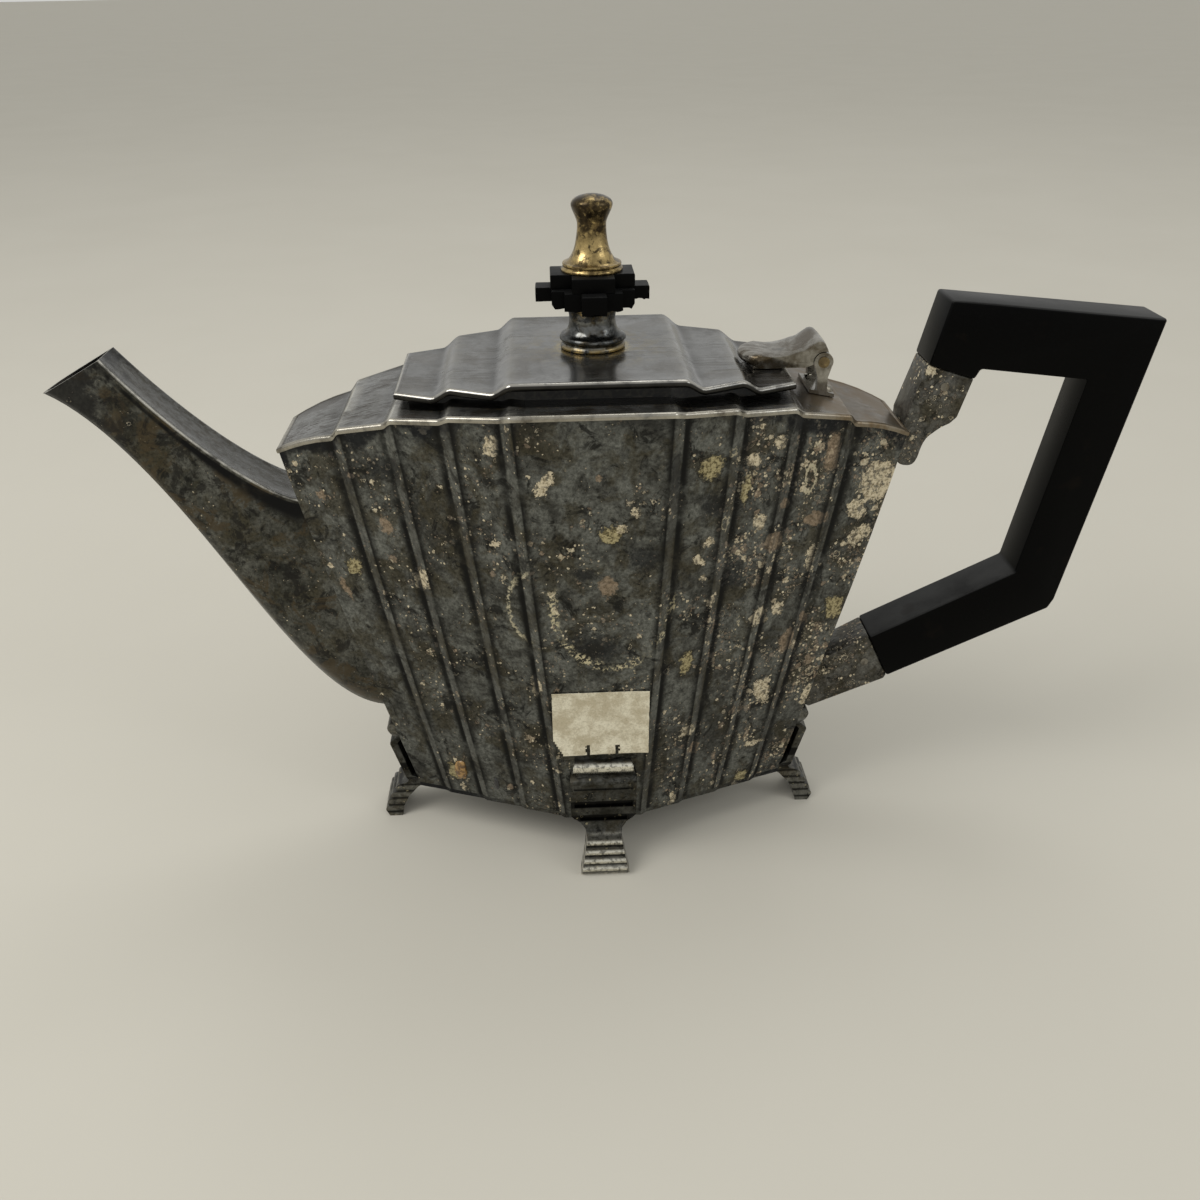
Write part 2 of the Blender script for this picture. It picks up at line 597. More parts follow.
STUD_R = 1.7
PEDESTAL = [(STUD_R, 0), (7.8, 0), (8.05, 0.25), (8.1, 0.6), (7.9, 1.0), (7.6, 1.25), (7.6, 1.6),
            (7.9, 1.9), (8.25, 2.3), (8.25, 2.7), (8.0, 3.05), *cove(7.8, 3.3, 5.7, 7.4, 10),
            (5.75, 8.2), (5.95, 8.9), (6.3, 9.6), (6.7, 10.2), (6.78, 10.6), (6.7, 10.8),
            (STUD_R, 10.8)]
TIER_Z = LID_TOP_Z + 10.8
UPPER_TIER_Z = TIER_Z + 4.6
FINIAL_Z = UPPER_TIER_Z + 3.4
FINIAL = [(1.5, 0), (7.4, 0), (7.58, 0.25), (7.55, 0.65), (7.3, 0.95), (7.05, 1.15), (7.15, 1.45),
          (7.2, 1.75), *cove(7.1, 2.0, 3.5, 10.7, 14), (3.52, 11.3), (3.7, 12.0), (4.05, 12.8),
          (4.4, 13.6), (4.75, 14.4), (4.95, 15.0), (5.0, 15.5), (4.9, 16.0), (4.55, 16.5),
          (3.9, 16.95), (3.1, 17.3), (2.0, 17.6), (0.9, 17.75), (0.02, 17.8), (0.02, 9.8), (1.5, 9.8)]
pedestal = turned("knob_foot", PEDESTAL, LID_TOP_Z, wobble=0.1)
finial = turned("brass_finial", FINIAL, FINIAL_Z, wobble=0.12, lean=0.012)
print("knob's foot and finial:", len(pedestal.data.polygons), "and", len(finial.data.polygons), "faces")

# %% [markdown]
# The two black plates of the knob are stepped in plan, like the body. Their undersides
# have crumbled with age, so the lower edge is cut from many short pieces and each one is
# lifted by a little noise.

# %% Black tiers
def cross_outline(span, arm, step):
    """The corner points of the stepped cross, with extra points every step millimetres."""
    core = span * 0.72
    quarter = [(span / 2, -arm / 2), (span / 2, arm / 2), (core / 2, arm / 2), (core / 2, 0.35 * core),
               (0.35 * core, 0.35 * core), (0.35 * core, core / 2), (arm / 2, core / 2)]
    corners = []
    for turn in range(4):
        c, s = round(math.cos(turn * math.pi / 2)), round(math.sin(turn * math.pi / 2))
        corners += [(x * c - y * s, x * s + y * c) for x, y in quarter]
    outline = []
    for (x0, y0), (x1, y1) in zip(corners, corners[1:] + corners[:1]):
        count = max(1, round(math.hypot(x1 - x0, y1 - y0) / step))
        outline += [(x0 + (x1 - x0) * i / count, y0 + (y1 - y0) * i / count) for i in range(count)]
    return outline

def crumbled_plate(name, span, arm, low, height, crumble, thin_from=99.0, thin_by=0.0):
    """A stepped plate with a worn rim and a ragged underside."""
    outline = cross_outline(span, arm, 0.7)
    n, points, levels = len(outline), [], (0.0, 0.12, 0.5, 0.88, 0.97, 1.0)
    for level in levels:
        inward = 0.32 if level == 1.0 else 0.09 if level == 0.97 else 0.0
        for x, y in outline:
            rough = abs(wavy(x, y, span, 1.9)) * crumble + (thin_by if abs(x) > thin_from else 0)
            base = low + rough
            shrink = 1 - (inward + 0.12 * abs(wavy(x, y, level * 3, 1.3, 2.0))) / math.hypot(x, y)
            points.append((x * shrink, y * shrink, base + (low + height - base) * level))
    faces = [f for k in range(len(levels) - 1) for f in band_faces(n, k, k + 1)]
    plate = make_piece(name, points, faces + [tuple(range(n)),
                                              tuple(range((len(levels) - 1) * n, len(levels) * n))],
                       sharp=30)
    bpy.ops.mesh.primitive_cylinder_add(vertices=32, radius=STUD_R * MM, depth=40 * MM,
                                        location=(-MIDDLE * MM, 0, (low + height / 2) * MM))
    carve(plate, [bpy.context.object], 30)
    return plate

lower_tier = crumbled_plate("lower_black_tier", 27.8, 6.0, TIER_Z, 4.6, 0.9, 10.0, 1.2)
upper_tier = crumbled_plate("upper_black_tier", 20.4, 10.2, UPPER_TIER_Z, 3.4, 0.35)
print("tiers at", TIER_Z, "and", UPPER_TIER_Z, "mm")

# %% [markdown]
# The hinge leaf is a cast tongue: rounded where it lies on the lid, hollow on its back and
# curled up over the pin. Its side outline is repeated across its width, and the stations
# near both sides start further along, which rounds the end in plan.

# %% Hinge leaf
HINGE_X, HINGE_Z, LEAF_W = 57.1, 134.7, 14.0
LEAF_LOW_Z = LID_TOP_Z - 2 * LID_DROP + 0.9
LEAF_X0 = HINGE_X - 20.6
KNUCKLE_R, PIN_BORE_R, EAR_T, EAR_GAP = 2.4, 1.45, 2.0, 0.25

def leaf_outline():
    """Side outline of the leaf, from its rounded end along the underside and back over the crest."""
    low, crest_z = LEAF_LOW_Z, HINGE_Z + 5.6
    under = [(LEAF_X0, low + 2.0), (LEAF_X0 + 0.15, low + 1.2), (LEAF_X0 + 0.7, low + 0.5),
             (LEAF_X0 + 1.6, low + 0.1), (LEAF_X0 + 3, low), (LEAF_X0 + 8, low), (HINGE_X - 4.6, low),
             (HINGE_X - 3.4, low + 0.4), (HINGE_X - 2.6, HINGE_Z - 0.2),
             (HINGE_X - 2.3, HINGE_Z + 1.4), (HINGE_X - 1.6, HINGE_Z + 2.5),
             (HINGE_X + 0.2, HINGE_Z + 2.6), (HINGE_X + 1.05, HINGE_Z + 2.3)]
    over = [(HINGE_X + 1.05, HINGE_Z + 2.85), (HINGE_X + 0.8, HINGE_Z + 3.6),
            (HINGE_X + 0.2, HINGE_Z + 4.8), (HINGE_X - 0.5, crest_z - 0.15), (HINGE_X - 1.1, crest_z),
            (HINGE_X - 1.9, crest_z - 0.15), (HINGE_X - 3.2, crest_z - 1.0),
            (HINGE_X - 4.8, crest_z - 2.1), (HINGE_X - 6.6, low + 3.9), (HINGE_X - 8.6, low + 3.25),
            (HINGE_X - 10.8, low + 2.85), (HINGE_X - 13.2, low + 2.8), (LEAF_X0 + 4.6, low + 3.0),
            (LEAF_X0 + 2.6, low + 3.15), (LEAF_X0 + 1.3, low + 3.0), (LEAF_X0 + 0.4, low + 2.6)]
    return under + over

def build_leaf():
    outline, points, stations = leaf_outline(), [], 25
    round_r = 8.2
    for i in range(stations):
        y = -LEAF_W / 2 + LEAF_W * i / (stations - 1)
        start = round_r - math.sqrt(round_r ** 2 - (y * 0.985) ** 2)
        for x, z in outline:
            along = x - LEAF_X0
            if along < round_r:
                along = start + along * (round_r - start) / round_r
            points.append((LEAF_X0 + along, y, z - 0.35 * (y / 7) ** 4))
    n = len(outline)
    faces = [(k * n + i, (k + 1) * n + i, (k + 1) * n + (i + 1) % n, k * n + (i + 1) % n)
             for k in range(stations - 1) for i in range(n)]
    faces += [tuple(range(n)), tuple(range((stations - 1) * n, stations * n))]
    leaf = make_piece("curled_hinge_leaf", points, faces, sharp=50)
    bpy.ops.mesh.primitive_cylinder_add(
        vertices=48, radius=PIN_BORE_R * MM, depth=40 * MM, rotation=(math.pi / 2, 0, 0),
        location=((HINGE_X - MIDDLE) * MM, 0, HINGE_Z * MM))
    cutters = [bpy.context.object]
    for side in (-1, 1):
        bpy.ops.mesh.primitive_cylinder_add(
            vertices=48, radius=(KNUCKLE_R + EAR_GAP) * MM, depth=(EAR_T + 2 * EAR_GAP) * MM,
            rotation=(math.pi / 2, 0, 0),
            location=((HINGE_X - MIDDLE) * MM, side * (LEAF_W / 2 - EAR_T / 2) * MM, HINGE_Z * MM))
        cutters.append(bpy.context.object)
    carve(leaf, cutters, 50)
    return leaf

leaf = build_leaf()

def tube_ring(name, x, z, r_out, r_in, y0, y1):
    """A short sleeve along Y, such as a hinge knuckle."""
    points, faces, n = [], [], 40
    for y, r in ((y0, r_in), (y0, r_out - 0.15), (y0 + 0.15, r_out), (y1 - 0.15, r_out),
                 (y1, r_out - 0.15), (y1, r_in)):
        points += [(x + r * math.cos(2 * math.pi * i / n), y,
                    z + r * math.sin(2 * math.pi * i / n)) for i in range(n)]
    faces = [f for k in range(6) for f in band_faces(n, k, (k + 1) % 6)]
    return make_piece(name, points, faces)

KNUCKLE_W = LEAF_W - 2 * EAR_T - 2 * EAR_GAP
knuckle = tube_ring("hinge_knuckle", HINGE_X, HINGE_Z, KNUCKLE_R, PIN_BORE_R, -KNUCKLE_W / 2, KNUCKLE_W / 2)

# the leaf stands on a solder foot on the lid's end plate
foot_low, foot_high = LID_TOP_Z - 2 * LID_DROP, LEAF_LOW_Z + 0.2
solder_foot = thick_outline("leaf_solder_foot", [
    (39.6, foot_low), (47.2, foot_low), (46.6, foot_high), (40.2, foot_high)], LEAF_W - 3, 0.2)
print("hinge leaf:", len(leaf.data.vertices), "points")

# %% [markdown]
# A blank paper label clings to the front panel. It is a thin grid, so that it can follow
# the wall, lift a little at its torn corner and show two short slits in its lower edge.

# %% Label
LABEL_W, LABEL_H, LABEL_Z, LABEL_T = 25.4, 20.8, 35.4, 0.2
TORN_X, TORN_Z = 0.11, 0.26                # how far the missing corner reaches, as shares
SLITS = ((0.36, 0.16), (0.67, 0.15))        # place along the label, and height, as shares

def label_lift(u, v):
    """How far the paper stands off the wall: its torn corner and lower edge curl up."""
    corner = bell(math.hypot(u - 0.12, v - 0.12), 0, 0.3)
    edges = 0.25 * bell(v, 0, 0.12) + 0.22 * bell(u, 1, 0.07) + 0.15 * bell(v, 1, 0.05)
    return 0.08 + 0.5 * corner + edges + 0.06 * abs(wavy(u * 20, v * 20, 1, 4))

def build_label():
    across, up = 60, 50
    front, back = [], []
    for j in range(up + 1):
        for i in range(across + 1):
            u, v = i / across, j / up
            z = LABEL_Z + LABEL_H * v
            x = LABEL_W * (u - 0.5) - 0.5 + 0.12 * wavy(0, z, u, 1.5)
            y = -front_y(z) - 0.06 - label_lift(u, v)
            front.append((x, y - LABEL_T, z))
            back.append((x, y, z))
    def torn(i, j):
        u, v = (i + 0.5) / across, (j + 0.5) / up
        ragged = 0.03 * wavy(u * 30, v * 30, 0, 2.2)
        if u / TORN_X + v / TORN_Z < 1 + ragged:
            return True
        return any(abs(u - at) < 0.017 * (1 + wavy(0, v * 20, at, 1)) and v < tall for at, tall in SLITS)
    n = len(front)
    kept = [(i, j) for j in range(up) for i in range(across) if not torn(i, j)]
    solid = set(kept)
    faces = []
    for i, j in kept:
        a = j * (across + 1) + i
        b, c, d = a + 1, a + across + 2, a + across + 1
        faces += [(a, b, c, d), (n + a, n + d, n + c, n + b)]
        sides = (((i, j - 1), a, b), ((i + 1, j), b, c), ((i, j + 1), c, d), ((i - 1, j), d, a))
        faces += [(p, q, n + q, n + p) for at, p, q in sides if at not in solid]
    label = make_piece("blank_label", front + back, faces, sharp=60)
    loose = bmesh.new()
    loose.from_mesh(label.data)
    bmesh.ops.delete(loose, geom=[v for v in loose.verts if not v.link_faces], context="VERTS")
    loose.to_mesh(label.data)
    loose.free()
    return label

label = build_label()
print("label:", len(label.data.polygons), "faces")

# %% [markdown]
# Drips of lacquer and tar stuck to the wall where it was mended. They are blobs, pressed
# flat against the panel, so each is a small dome whose outline wanders.

# %% Drips and solder
def wall_point(x, z):
    """The front wall's y and the slope angle of its panel at x and z, in millimetres."""
    levels = [z] * len(LEVELS)
    plan = body_plan(levels, 0)
    for (x0, y0), (x1, y1) in zip(plan, plan[1:]):
        if x0 <= abs(x) <= x1 and x1 > x0:
            return y0 + (y1 - y0) * (abs(x) - x0) / (x1 - x0), (y1 - y0) / (x1 - x0)
    return plan[-1][1], 0.0

def blob(name, centre, out, size, seed, flat=0.35, steps=20):
    """A rounded drop on a surface. out points away from it, and size is (width, height, depth)."""
    out = Vector(out).normalized()
    up = (Vector((0, 0, 1)) - out * out.z).normalized() if abs(out.z) < 0.9 else Vector((1, 0, 0))
    side = up.cross(out)
    points, faces, n = [Vector(centre) + out * size[2]], [], 2 * steps
    for k in range(1, steps + 1):
        a = math.pi / 2 * k / steps
        for i in range(n):
            b = 2 * math.pi * i / n
            rough = 1 + flat * wavy(math.cos(b) * 5, math.sin(b) * 5, seed, 4)
            r = math.sin(a) * rough
            points.append(Vector(centre) + side * (size[0] * r * math.cos(b))
                          + up * (size[1] * r * math.sin(b)) + out * (size[2] * math.cos(a) ** 0.8 - 0.02))
    faces = [(0, 1 + i, 1 + (i + 1) % n) for i in range(n)]
    faces += [(1 + k * n + i, 1 + (k + 1) * n + i, 1 + (k + 1) * n + (i + 1) % n, 1 + k * n + (i + 1) % n)
              for k in range(steps - 1) for i in range(n)]
    faces.append(tuple(1 + (steps - 1) * n + i for i in range(n)))
    return make_piece(name, [tuple(p) for p in points], faces, sharp=80)

def drop_on_wall(name, x, z, size, seed):
    y, slope = wall_point(x, z)
    lean = (front_y(z + 1) - front_y(z - 1)) / 2
    return blob(name, (x, -y, z), (math.copysign(-slope, x), -1, -lean), size, seed)

drip = drop_on_wall("amber_drip", -39.4, 21.2, (1.9, 3.3, 1.0), 1.0)
tar = drop_on_wall("tar_spot", -29.6, 19.2, (0.8, 2.2, 0.5), 5.0)
solder = [
    blob("bracket_solder", (HINGE_X + 1.6, -5.2, 127.2), (0.3, -0.2, 1), (2.2, 1.3, 0.7), 2.0),
    blob("bracket_solder_back", (HINGE_X - 1.0, 5.6, 127.6), (0.1, 0.3, 1), (1.8, 1.1, 0.6), 3.0),
]
print("drips and solder made")

# %% [markdown]
# Four bracket feet carry the pot. Each is one casting: a rolled bar at the top, a stepped
# recess between two rails, a narrow neck and a reeded toe. Its side profile is extruded
# across the foot, the front outline is trimmed with side blocks, and the recess is cut
# last, so the rails are left standing.

# %% Bracket feet
BRACKET_W, BRACKET_OUT, BRACKET_T, RAIL_W = 18.0, 3.6, 2.2, 1.0
NECK_W, TOE_W, TOE_OUT = 9.4, 13.4, 10.6
REEDS = ((3.9, 8.3, 1.15), (2.35, 6.2, 1.1), (1.25, 4.1, 1.1), (0.55, 2.0, 1.05))   # inward, height, radius
STEPS = ((26.6, 24.6, 0.5), (20.4, 18.2, 1.1), (15.2, 13.2, 1.1))                   # top, bottom, depth

def block(name, outline, x0, x1):
    """A block between x0 and x1 from an outline in Y and Z, to cut with."""
    n = len(outline)
    points = [(x, y, z) for x in (x0, x1) for y, z in outline]
    return make_piece(name, points, prism_faces(n))

def foot_profile(low_x, high_x):
    def face(z, d):
        return (low_x + (high_x - low_x) * (z - WALL_Z) / (ROLL_TOP_Z - WALL_Z) + d, z)
    toe, back = low_x + TOE_OUT, BRACKET_OUT - BRACKET_T
    turns = [math.radians(a) for a in range(80, -81, -16)]
    rolled = [face(ROLL_Z + ROLL_R * math.sin(a), ROLL_OUT - ROLL_R + ROLL_R * math.cos(a)) for a in turns]
    plate = [face(27.6, BRACKET_OUT - 0.3), face(26.9, BRACKET_OUT), face(13.4, BRACKET_OUT - 0.4)]
    reeds = []
    for inward, height, radius in REEDS:
        reeds += [(toe - inward + radius * math.cos(a), height + radius * math.sin(a))
                  for a in (math.radians(t) for t in range(68, -53, -20))]
    sole = [(toe - 0.6, 0.0), (toe - 4.4, 0), (toe - 5, 3), (toe - 6.6, 6), (toe - 9.4, 8.8),
            (low_x - 1.6, 10.6), (low_x - 1.6, FOOT_H)]
    inside = [(low_x, FOOT_H), face(WALL_Z, 0), face(WALL_Z + 2, 0), face(WALL_Z + 2.6, back),
              face(ROLL_Z - 4, back), face(ROLL_Z - 2.8, 0)]
    neck = [(low_x + BRACKET_OUT + 0.5, 10.8)]
    return [face(ROLL_TOP_Z - 0.1, 0)] + rolled + plate + neck + reeds + sole + inside

def build_foot(name, low_x, high_x, turn):
    foot = thick_outline(name, foot_profile(low_x, high_x), BRACKET_W, 0.12, 2, 50)
    trims = []
    for side in (-1, 1):
        edge = [(BRACKET_W / 2 + 3, -1), (TOE_W / 2, -1), (TOE_W / 2, 0), (NECK_W / 2, 9.6),
                (NECK_W / 2 + 0.5, 11.2), (NECK_W / 2 + 1.6, 12.6), (BRACKET_W / 2 - 0.9, 13.9),
                (BRACKET_W / 2, 15.0), (BRACKET_W / 2 + 3, 15.2)]
        trims.append(block("trim", [(side * y, z) for y, z in edge], low_x - 5, low_x + 25))
        ease = [(BRACKET_W / 2 + 1, 28.2), (BRACKET_W / 2 - 0.25, 28.6), (BRACKET_W / 2 - 0.9, 30.4),
                (BRACKET_W / 2 - 0.9, 32.2), (BRACKET_W / 2 - 1.8, 34), (BRACKET_W / 2 + 1, 34)]
        trims.append(block("ease", [(side * y, z) for y, z in ease], low_x - 5, low_x + 25))
    inner = BRACKET_W / 2 - RAIL_W
    for top, bottom, depth in STEPS:
        lean = (high_x - low_x) / (ROLL_TOP_Z - WALL_Z)
        front = low_x + lean * (bottom - WALL_Z) + BRACKET_OUT - depth
        half = min(inner, NECK_W / 2 + 0.2 + max(0.0, (bottom - 12.2) * 1.6))
        trims.append(block("step", [(-half, bottom), (half, bottom), (half, top), (-half, top)], front,
                           front + 6))
    carve(foot, trims, 50)
    spin = Matrix.Rotation(math.radians(turn), 4, "Z")
    middle = Matrix.Translation((-MIDDLE * MM, 0, 0))
    foot.data.transform(middle @ spin @ middle.inverted())
    return foot

feet = {
    "front_foot": build_foot("front_bracket_foot", front_y(WALL_Z), front_y(ROLL_TOP_Z), -90),
    "back_foot": build_foot("back_bracket_foot", front_y(WALL_Z), front_y(ROLL_TOP_Z), 90),
    "spout_foot": build_foot("spout_bracket_foot", end_x(WALL_Z), end_x(ROLL_TOP_Z), 180),
    "handle_foot": build_foot("handle_bracket_foot", end_x(WALL_Z), end_x(ROLL_TOP_Z), 0)}
print("feet:", [len(f.data.vertices) for f in feet.values()])

# %% [markdown]
# Materials come next. Tarnish, flakes, streaks and worn edges appear on several metals,
# so each effect is a node group with named inputs, made once and tuned where it is used.
# Textures are read in object coordinates, in millimetres, so a size in a group is a real
# size, and nothing slides when the camera or the lid moves.

# %% Small helpers for node trees
def add(tree, kind, inputs=None, **settings):
    """Adds a node, with its inputs set to values or wired to sockets."""
    made = tree.nodes.new(kind)
    for key, value in settings.items():
        setattr(made, key, value)
    for key, value in (inputs or {}).items():
        if isinstance(value, bpy.types.NodeSocket):
            tree.links.new(value, made.inputs[key])
        else:
            made.inputs[key].default_value = value
    return made

def calc(tree, operation, a, b=0.0, c=0.0):
    made = add(tree, "ShaderNodeMath", {0: a, 1: b, 2: c}, operation=operation)
    return made.outputs[0]

def times(tree, first, *others):
    """The product of all the values."""
    for other in others:
        first = calc(tree, "MULTIPLY", first, other)
    return first

def combine(tree, operation, *vectors):
    """One step of vector arithmetic. It gives a vector, or the value of a length."""
    made = add(tree, "ShaderNodeVectorMath", dict(enumerate(vectors)), operation=operation)
    return made.outputs["Value" if operation == "LENGTH" else "Vector"]

def axes(tree, vector):
    return add(tree, "ShaderNodeSeparateXYZ", {0: vector}).outputs

def alike(tree, value):
    """A vector with the same value along X, Y and Z."""
    return add(tree, "ShaderNodeCombineXYZ", {0: value, 1: value, 2: value}).outputs[0]

def remap(tree, value, low, high, to_low=0.0, to_high=1.0, how="SMOOTHSTEP"):
    made = add(tree, "ShaderNodeMapRange", {"Value": value, "From Min": low, "From Max": high,
                                            "To Min": to_low, "To Max": to_high}, interpolation_type=how)
    return made.outputs["Result"]

def tint(tree, share, a, b, mode="MIX"):
    """Mixes two colours. a and b are colours or sockets."""
    as_rgba = lambda c: c if isinstance(c, bpy.types.NodeSocket) else (*c, 1.0)
    made = add(tree, "ShaderNodeMix", {0: share, 6: as_rgba(a), 7: as_rgba(b)}, data_type="RGBA",
               blend_type=mode)
    return made.outputs[2]

def cloud(tree, vector, size, detail=5.0, rough=0.6, seed=0.0, twist=0.0):
    """Noise whose features are about size millimetres. The seed moves it to another place."""
    at = combine(tree, "ADD", vector, (seed * 37.0, seed * 11.0, seed * 53.0))
    scale = calc(tree, "DIVIDE", 1.0, size) if isinstance(size, bpy.types.NodeSocket) else 1.0 / size
    made = add(tree, "ShaderNodeTexNoise", {"Vector": at, "Scale": scale, "Detail": detail,
                                            "Roughness": rough, "Distortion": twist})
    return made.outputs[0]

def drift(tree, vector, scale, detail, rough):
    """Noise in three directions, about -0.5 to 0.5 in each, to bend a place with."""
    made = add(tree, "ShaderNodeTexNoise",
               {"Vector": vector, "Scale": scale, "Detail": detail, "Roughness": rough})
    return combine(tree, "SUBTRACT", made.outputs["Color"], (0.5, 0.5, 0.5))

FLOAT, COLOUR, VECTOR = "NodeSocketFloat", "NodeSocketColor", "NodeSocketVector"
HERE = (0.0, 0.0, 0.0)

def new_group(name, inputs, outputs):
    """An empty node group with named sockets, and its input and output nodes."""
    tree = bpy.data.node_groups.new(name, "ShaderNodeTree")
    for label, value in inputs.items():
        kind = FLOAT if isinstance(value, float) else COLOUR if len(value) == 4 else VECTOR
        made = tree.interface.new_socket(name=label, in_out="INPUT", socket_type=kind)
        made.default_value = value
    for label, kind in outputs.items():
        tree.interface.new_socket(name=label, in_out="OUTPUT", socket_type=kind)
    return tree, tree.nodes.new("NodeGroupInput").outputs, tree.nodes.new("NodeGroupOutput").inputs

def use(tree, group, inputs):
    """Places a group in a tree and returns its outputs."""
    made = add(tree, "ShaderNodeGroup", node_tree=group)
    for key, value in inputs.items():
        if isinstance(value, bpy.types.NodeSocket):
            tree.links.new(value, made.inputs[key])
        else:
            colour = isinstance(value, tuple) and made.inputs[key].type == "RGBA"
            made.inputs[key].default_value = (*value, 1.0) if colour else value
    return made.outputs

# %% [markdown]
# Silver plate darkens in patches: a grey film with brown stains and nearly black blotches.
# Clouds of two sizes make the grey, two more choose where it is stained, and a fine
# grain keeps any patch from looking airbrushed.

# %% Group: mottled tarnish
def make_tarnish_group():
    tree, given, out = new_group(
        "mottled_tarnish",
        {"Place": HERE, "Size": 14.0, "Light": (0.1, 0.1, 0.1, 1), "Dark": (0.03, 0.03, 0.03, 1),
         "Brown": (0.05, 0.036, 0.018, 1), "Black": (0.008, 0.008, 0.007, 1), "Stains": 0.5, "Blots": 0.5,
         "Grain": 0.5},
        {"Color": COLOUR, "Patch": FLOAT, "Fine": FLOAT})
    wide = cloud(tree, given["Place"], given["Size"], 6.0, 0.62, 1.0, 0.6)
    middle = cloud(tree, given["Place"], 4.0, 5.0, 0.66, 4.0, 0.8)
    fine = cloud(tree, given["Place"], 0.9, 4.0, 0.7, 2.0)
    patch = calc(tree, "ADD", times(tree, wide, 0.5), times(tree, middle, 0.5))
    grey = tint(tree, remap(tree, patch, 0.4, 0.6), given["Dark"], given["Light"])
    wide_stains = cloud(tree, given["Place"], times(tree, given["Size"], 0.75), 7.0, 0.68, 9.0, 0.5)
    brown_at = times(tree, remap(tree, wide_stains, 0.47, 0.6), given["Stains"])
    stained = tint(tree, brown_at, grey, given["Brown"])
    small_stains = cloud(tree, given["Place"], times(tree, given["Size"], 0.5), 7.0, 0.7, 14.0, 0.9)
    black_at = times(tree, remap(tree, small_stains, 0.54, 0.63), given["Blots"])
    blotted = tint(tree, black_at, stained, given["Black"])
    grain = remap(tree, fine, 0.3, 0.7, -1.0, 1.0, "LINEAR")
    speck = calc(tree, "MULTIPLY_ADD", grain, given["Grain"], 1.0)
    tree.links.new(tint(tree, 1.0, blotted, alike(tree, speck), "MULTIPLY"), out["Color"])
    tree.links.new(patch, out["Patch"])
    tree.links.new(fine, out["Fine"])
    return tree

TARNISH = make_tarnish_group()
print(TARNISH.name, "-", len(TARNISH.nodes), "nodes")

# %% [markdown]
# Where the plate has lifted, small flakes show a pale crust, some of them only as a ring.
# Each cell of a Voronoi texture holds one flake of its own size. Bending the coordinates
# with noise first gives them ragged outlines.

# %% Group: pale flakes
def make_flake_group():
    tree, given, out = new_group(
        "pale_flakes", {"Place": HERE, "Size": 6.0, "Amount": 0.4, "Ragged": 0.5, "Seed": 0.0},
        {"Flake": FLOAT, "Ring": FLOAT, "Tone": FLOAT})
    push = alike(tree, times(tree, given["Ragged"], 4.0))
    bend = combine(tree, "MULTIPLY", drift(tree, given["Place"], 0.9, 4.0, 0.7), push)
    moved_to = combine(tree, "ADD", given["Place"], bend)
    moved_to = combine(tree, "ADD", moved_to, alike(tree, given["Seed"]))
    cells = add(tree, "ShaderNodeTexVoronoi", {"Vector": moved_to, "Scale": 1.0, "Randomness": 1.0})
    tree.links.new(calc(tree, "DIVIDE", 1.0, given["Size"]), cells.inputs["Scale"])
    chance = add(tree, "ShaderNodeSeparateColor", {0: cells.outputs["Color"]}).outputs
    here = calc(tree, "SUBTRACT", given["Amount"], chance[0])
    radius = remap(tree, here, 0.0, 0.7, 0.06, 0.5, "LINEAR")
    inside = calc(tree, "SUBTRACT", radius, cells.outputs["Distance"])
    inside = calc(tree, "MULTIPLY_ADD", calc(tree, "LESS_THAN", here, 0.0), -1.0, inside)
    flake = remap(tree, inside, 0.0, 0.035)
    hollow = remap(tree, inside, 0.04, 0.12)
    ringed = calc(tree, "GREATER_THAN", chance[1], 0.62)
    emptied = calc(tree, "SUBTRACT", 1.0, times(tree, ringed, hollow))
    tree.links.new(times(tree, flake, emptied), out["Flake"])
    tree.links.new(times(tree, remap(tree, inside, -0.1, 0.0), remap(tree, inside, 0.06, 0.0)), out["Ring"])
    tree.links.new(chance[2], out["Tone"])
    return tree

FLAKES = make_flake_group()
print(FLAKES.name, "-", len(FLAKES.nodes), "nodes")

# %% [markdown]
# Edges wear bright while the hollows beside them stay black. The masks that were stored
# on the meshes say where both are, and noise breaks them up so that no line is even.

# %% Group: worn edges
def make_edge_group():
    tree, given, out = new_group(
        "worn_edges", {"Place": HERE, "Base": (0.1, 0.1, 0.1, 1), "Crest": 0.0, "Groove": 0.0,
                       "Bright": (0.3, 0.3, 0.28, 1), "Black": (0.004, 0.004, 0.004, 1),
                       "Wear": 0.6, "Dirt": 0.8},
        {"Color": COLOUR})
    broken = remap(tree, cloud(tree, given["Place"], 7.0, 5.0, 0.7, 6.0), 0.35, 0.6, 0.15, 1.0)
    soot = remap(tree, cloud(tree, given["Place"], 11.0, 4.0, 0.6, 7.0), 0.3, 0.55, 0.35, 1.0)
    worn = times(tree, given["Crest"], broken, given["Wear"])
    dirty = times(tree, given["Groove"], soot, given["Dirt"])
    colour = tint(tree, dirty, given["Base"], given["Black"])
    tree.links.new(tint(tree, worn, colour, given["Bright"]), out["Color"])
    return tree

EDGES = make_edge_group()
print(EDGES.name, "-", len(EDGES.nodes), "nodes")

# %% [markdown]
# Polished plate carries fine brown streaks along the pot, left by years of wiping. They
# are noise that is stretched along X, by as much as a streak is longer than it is wide.

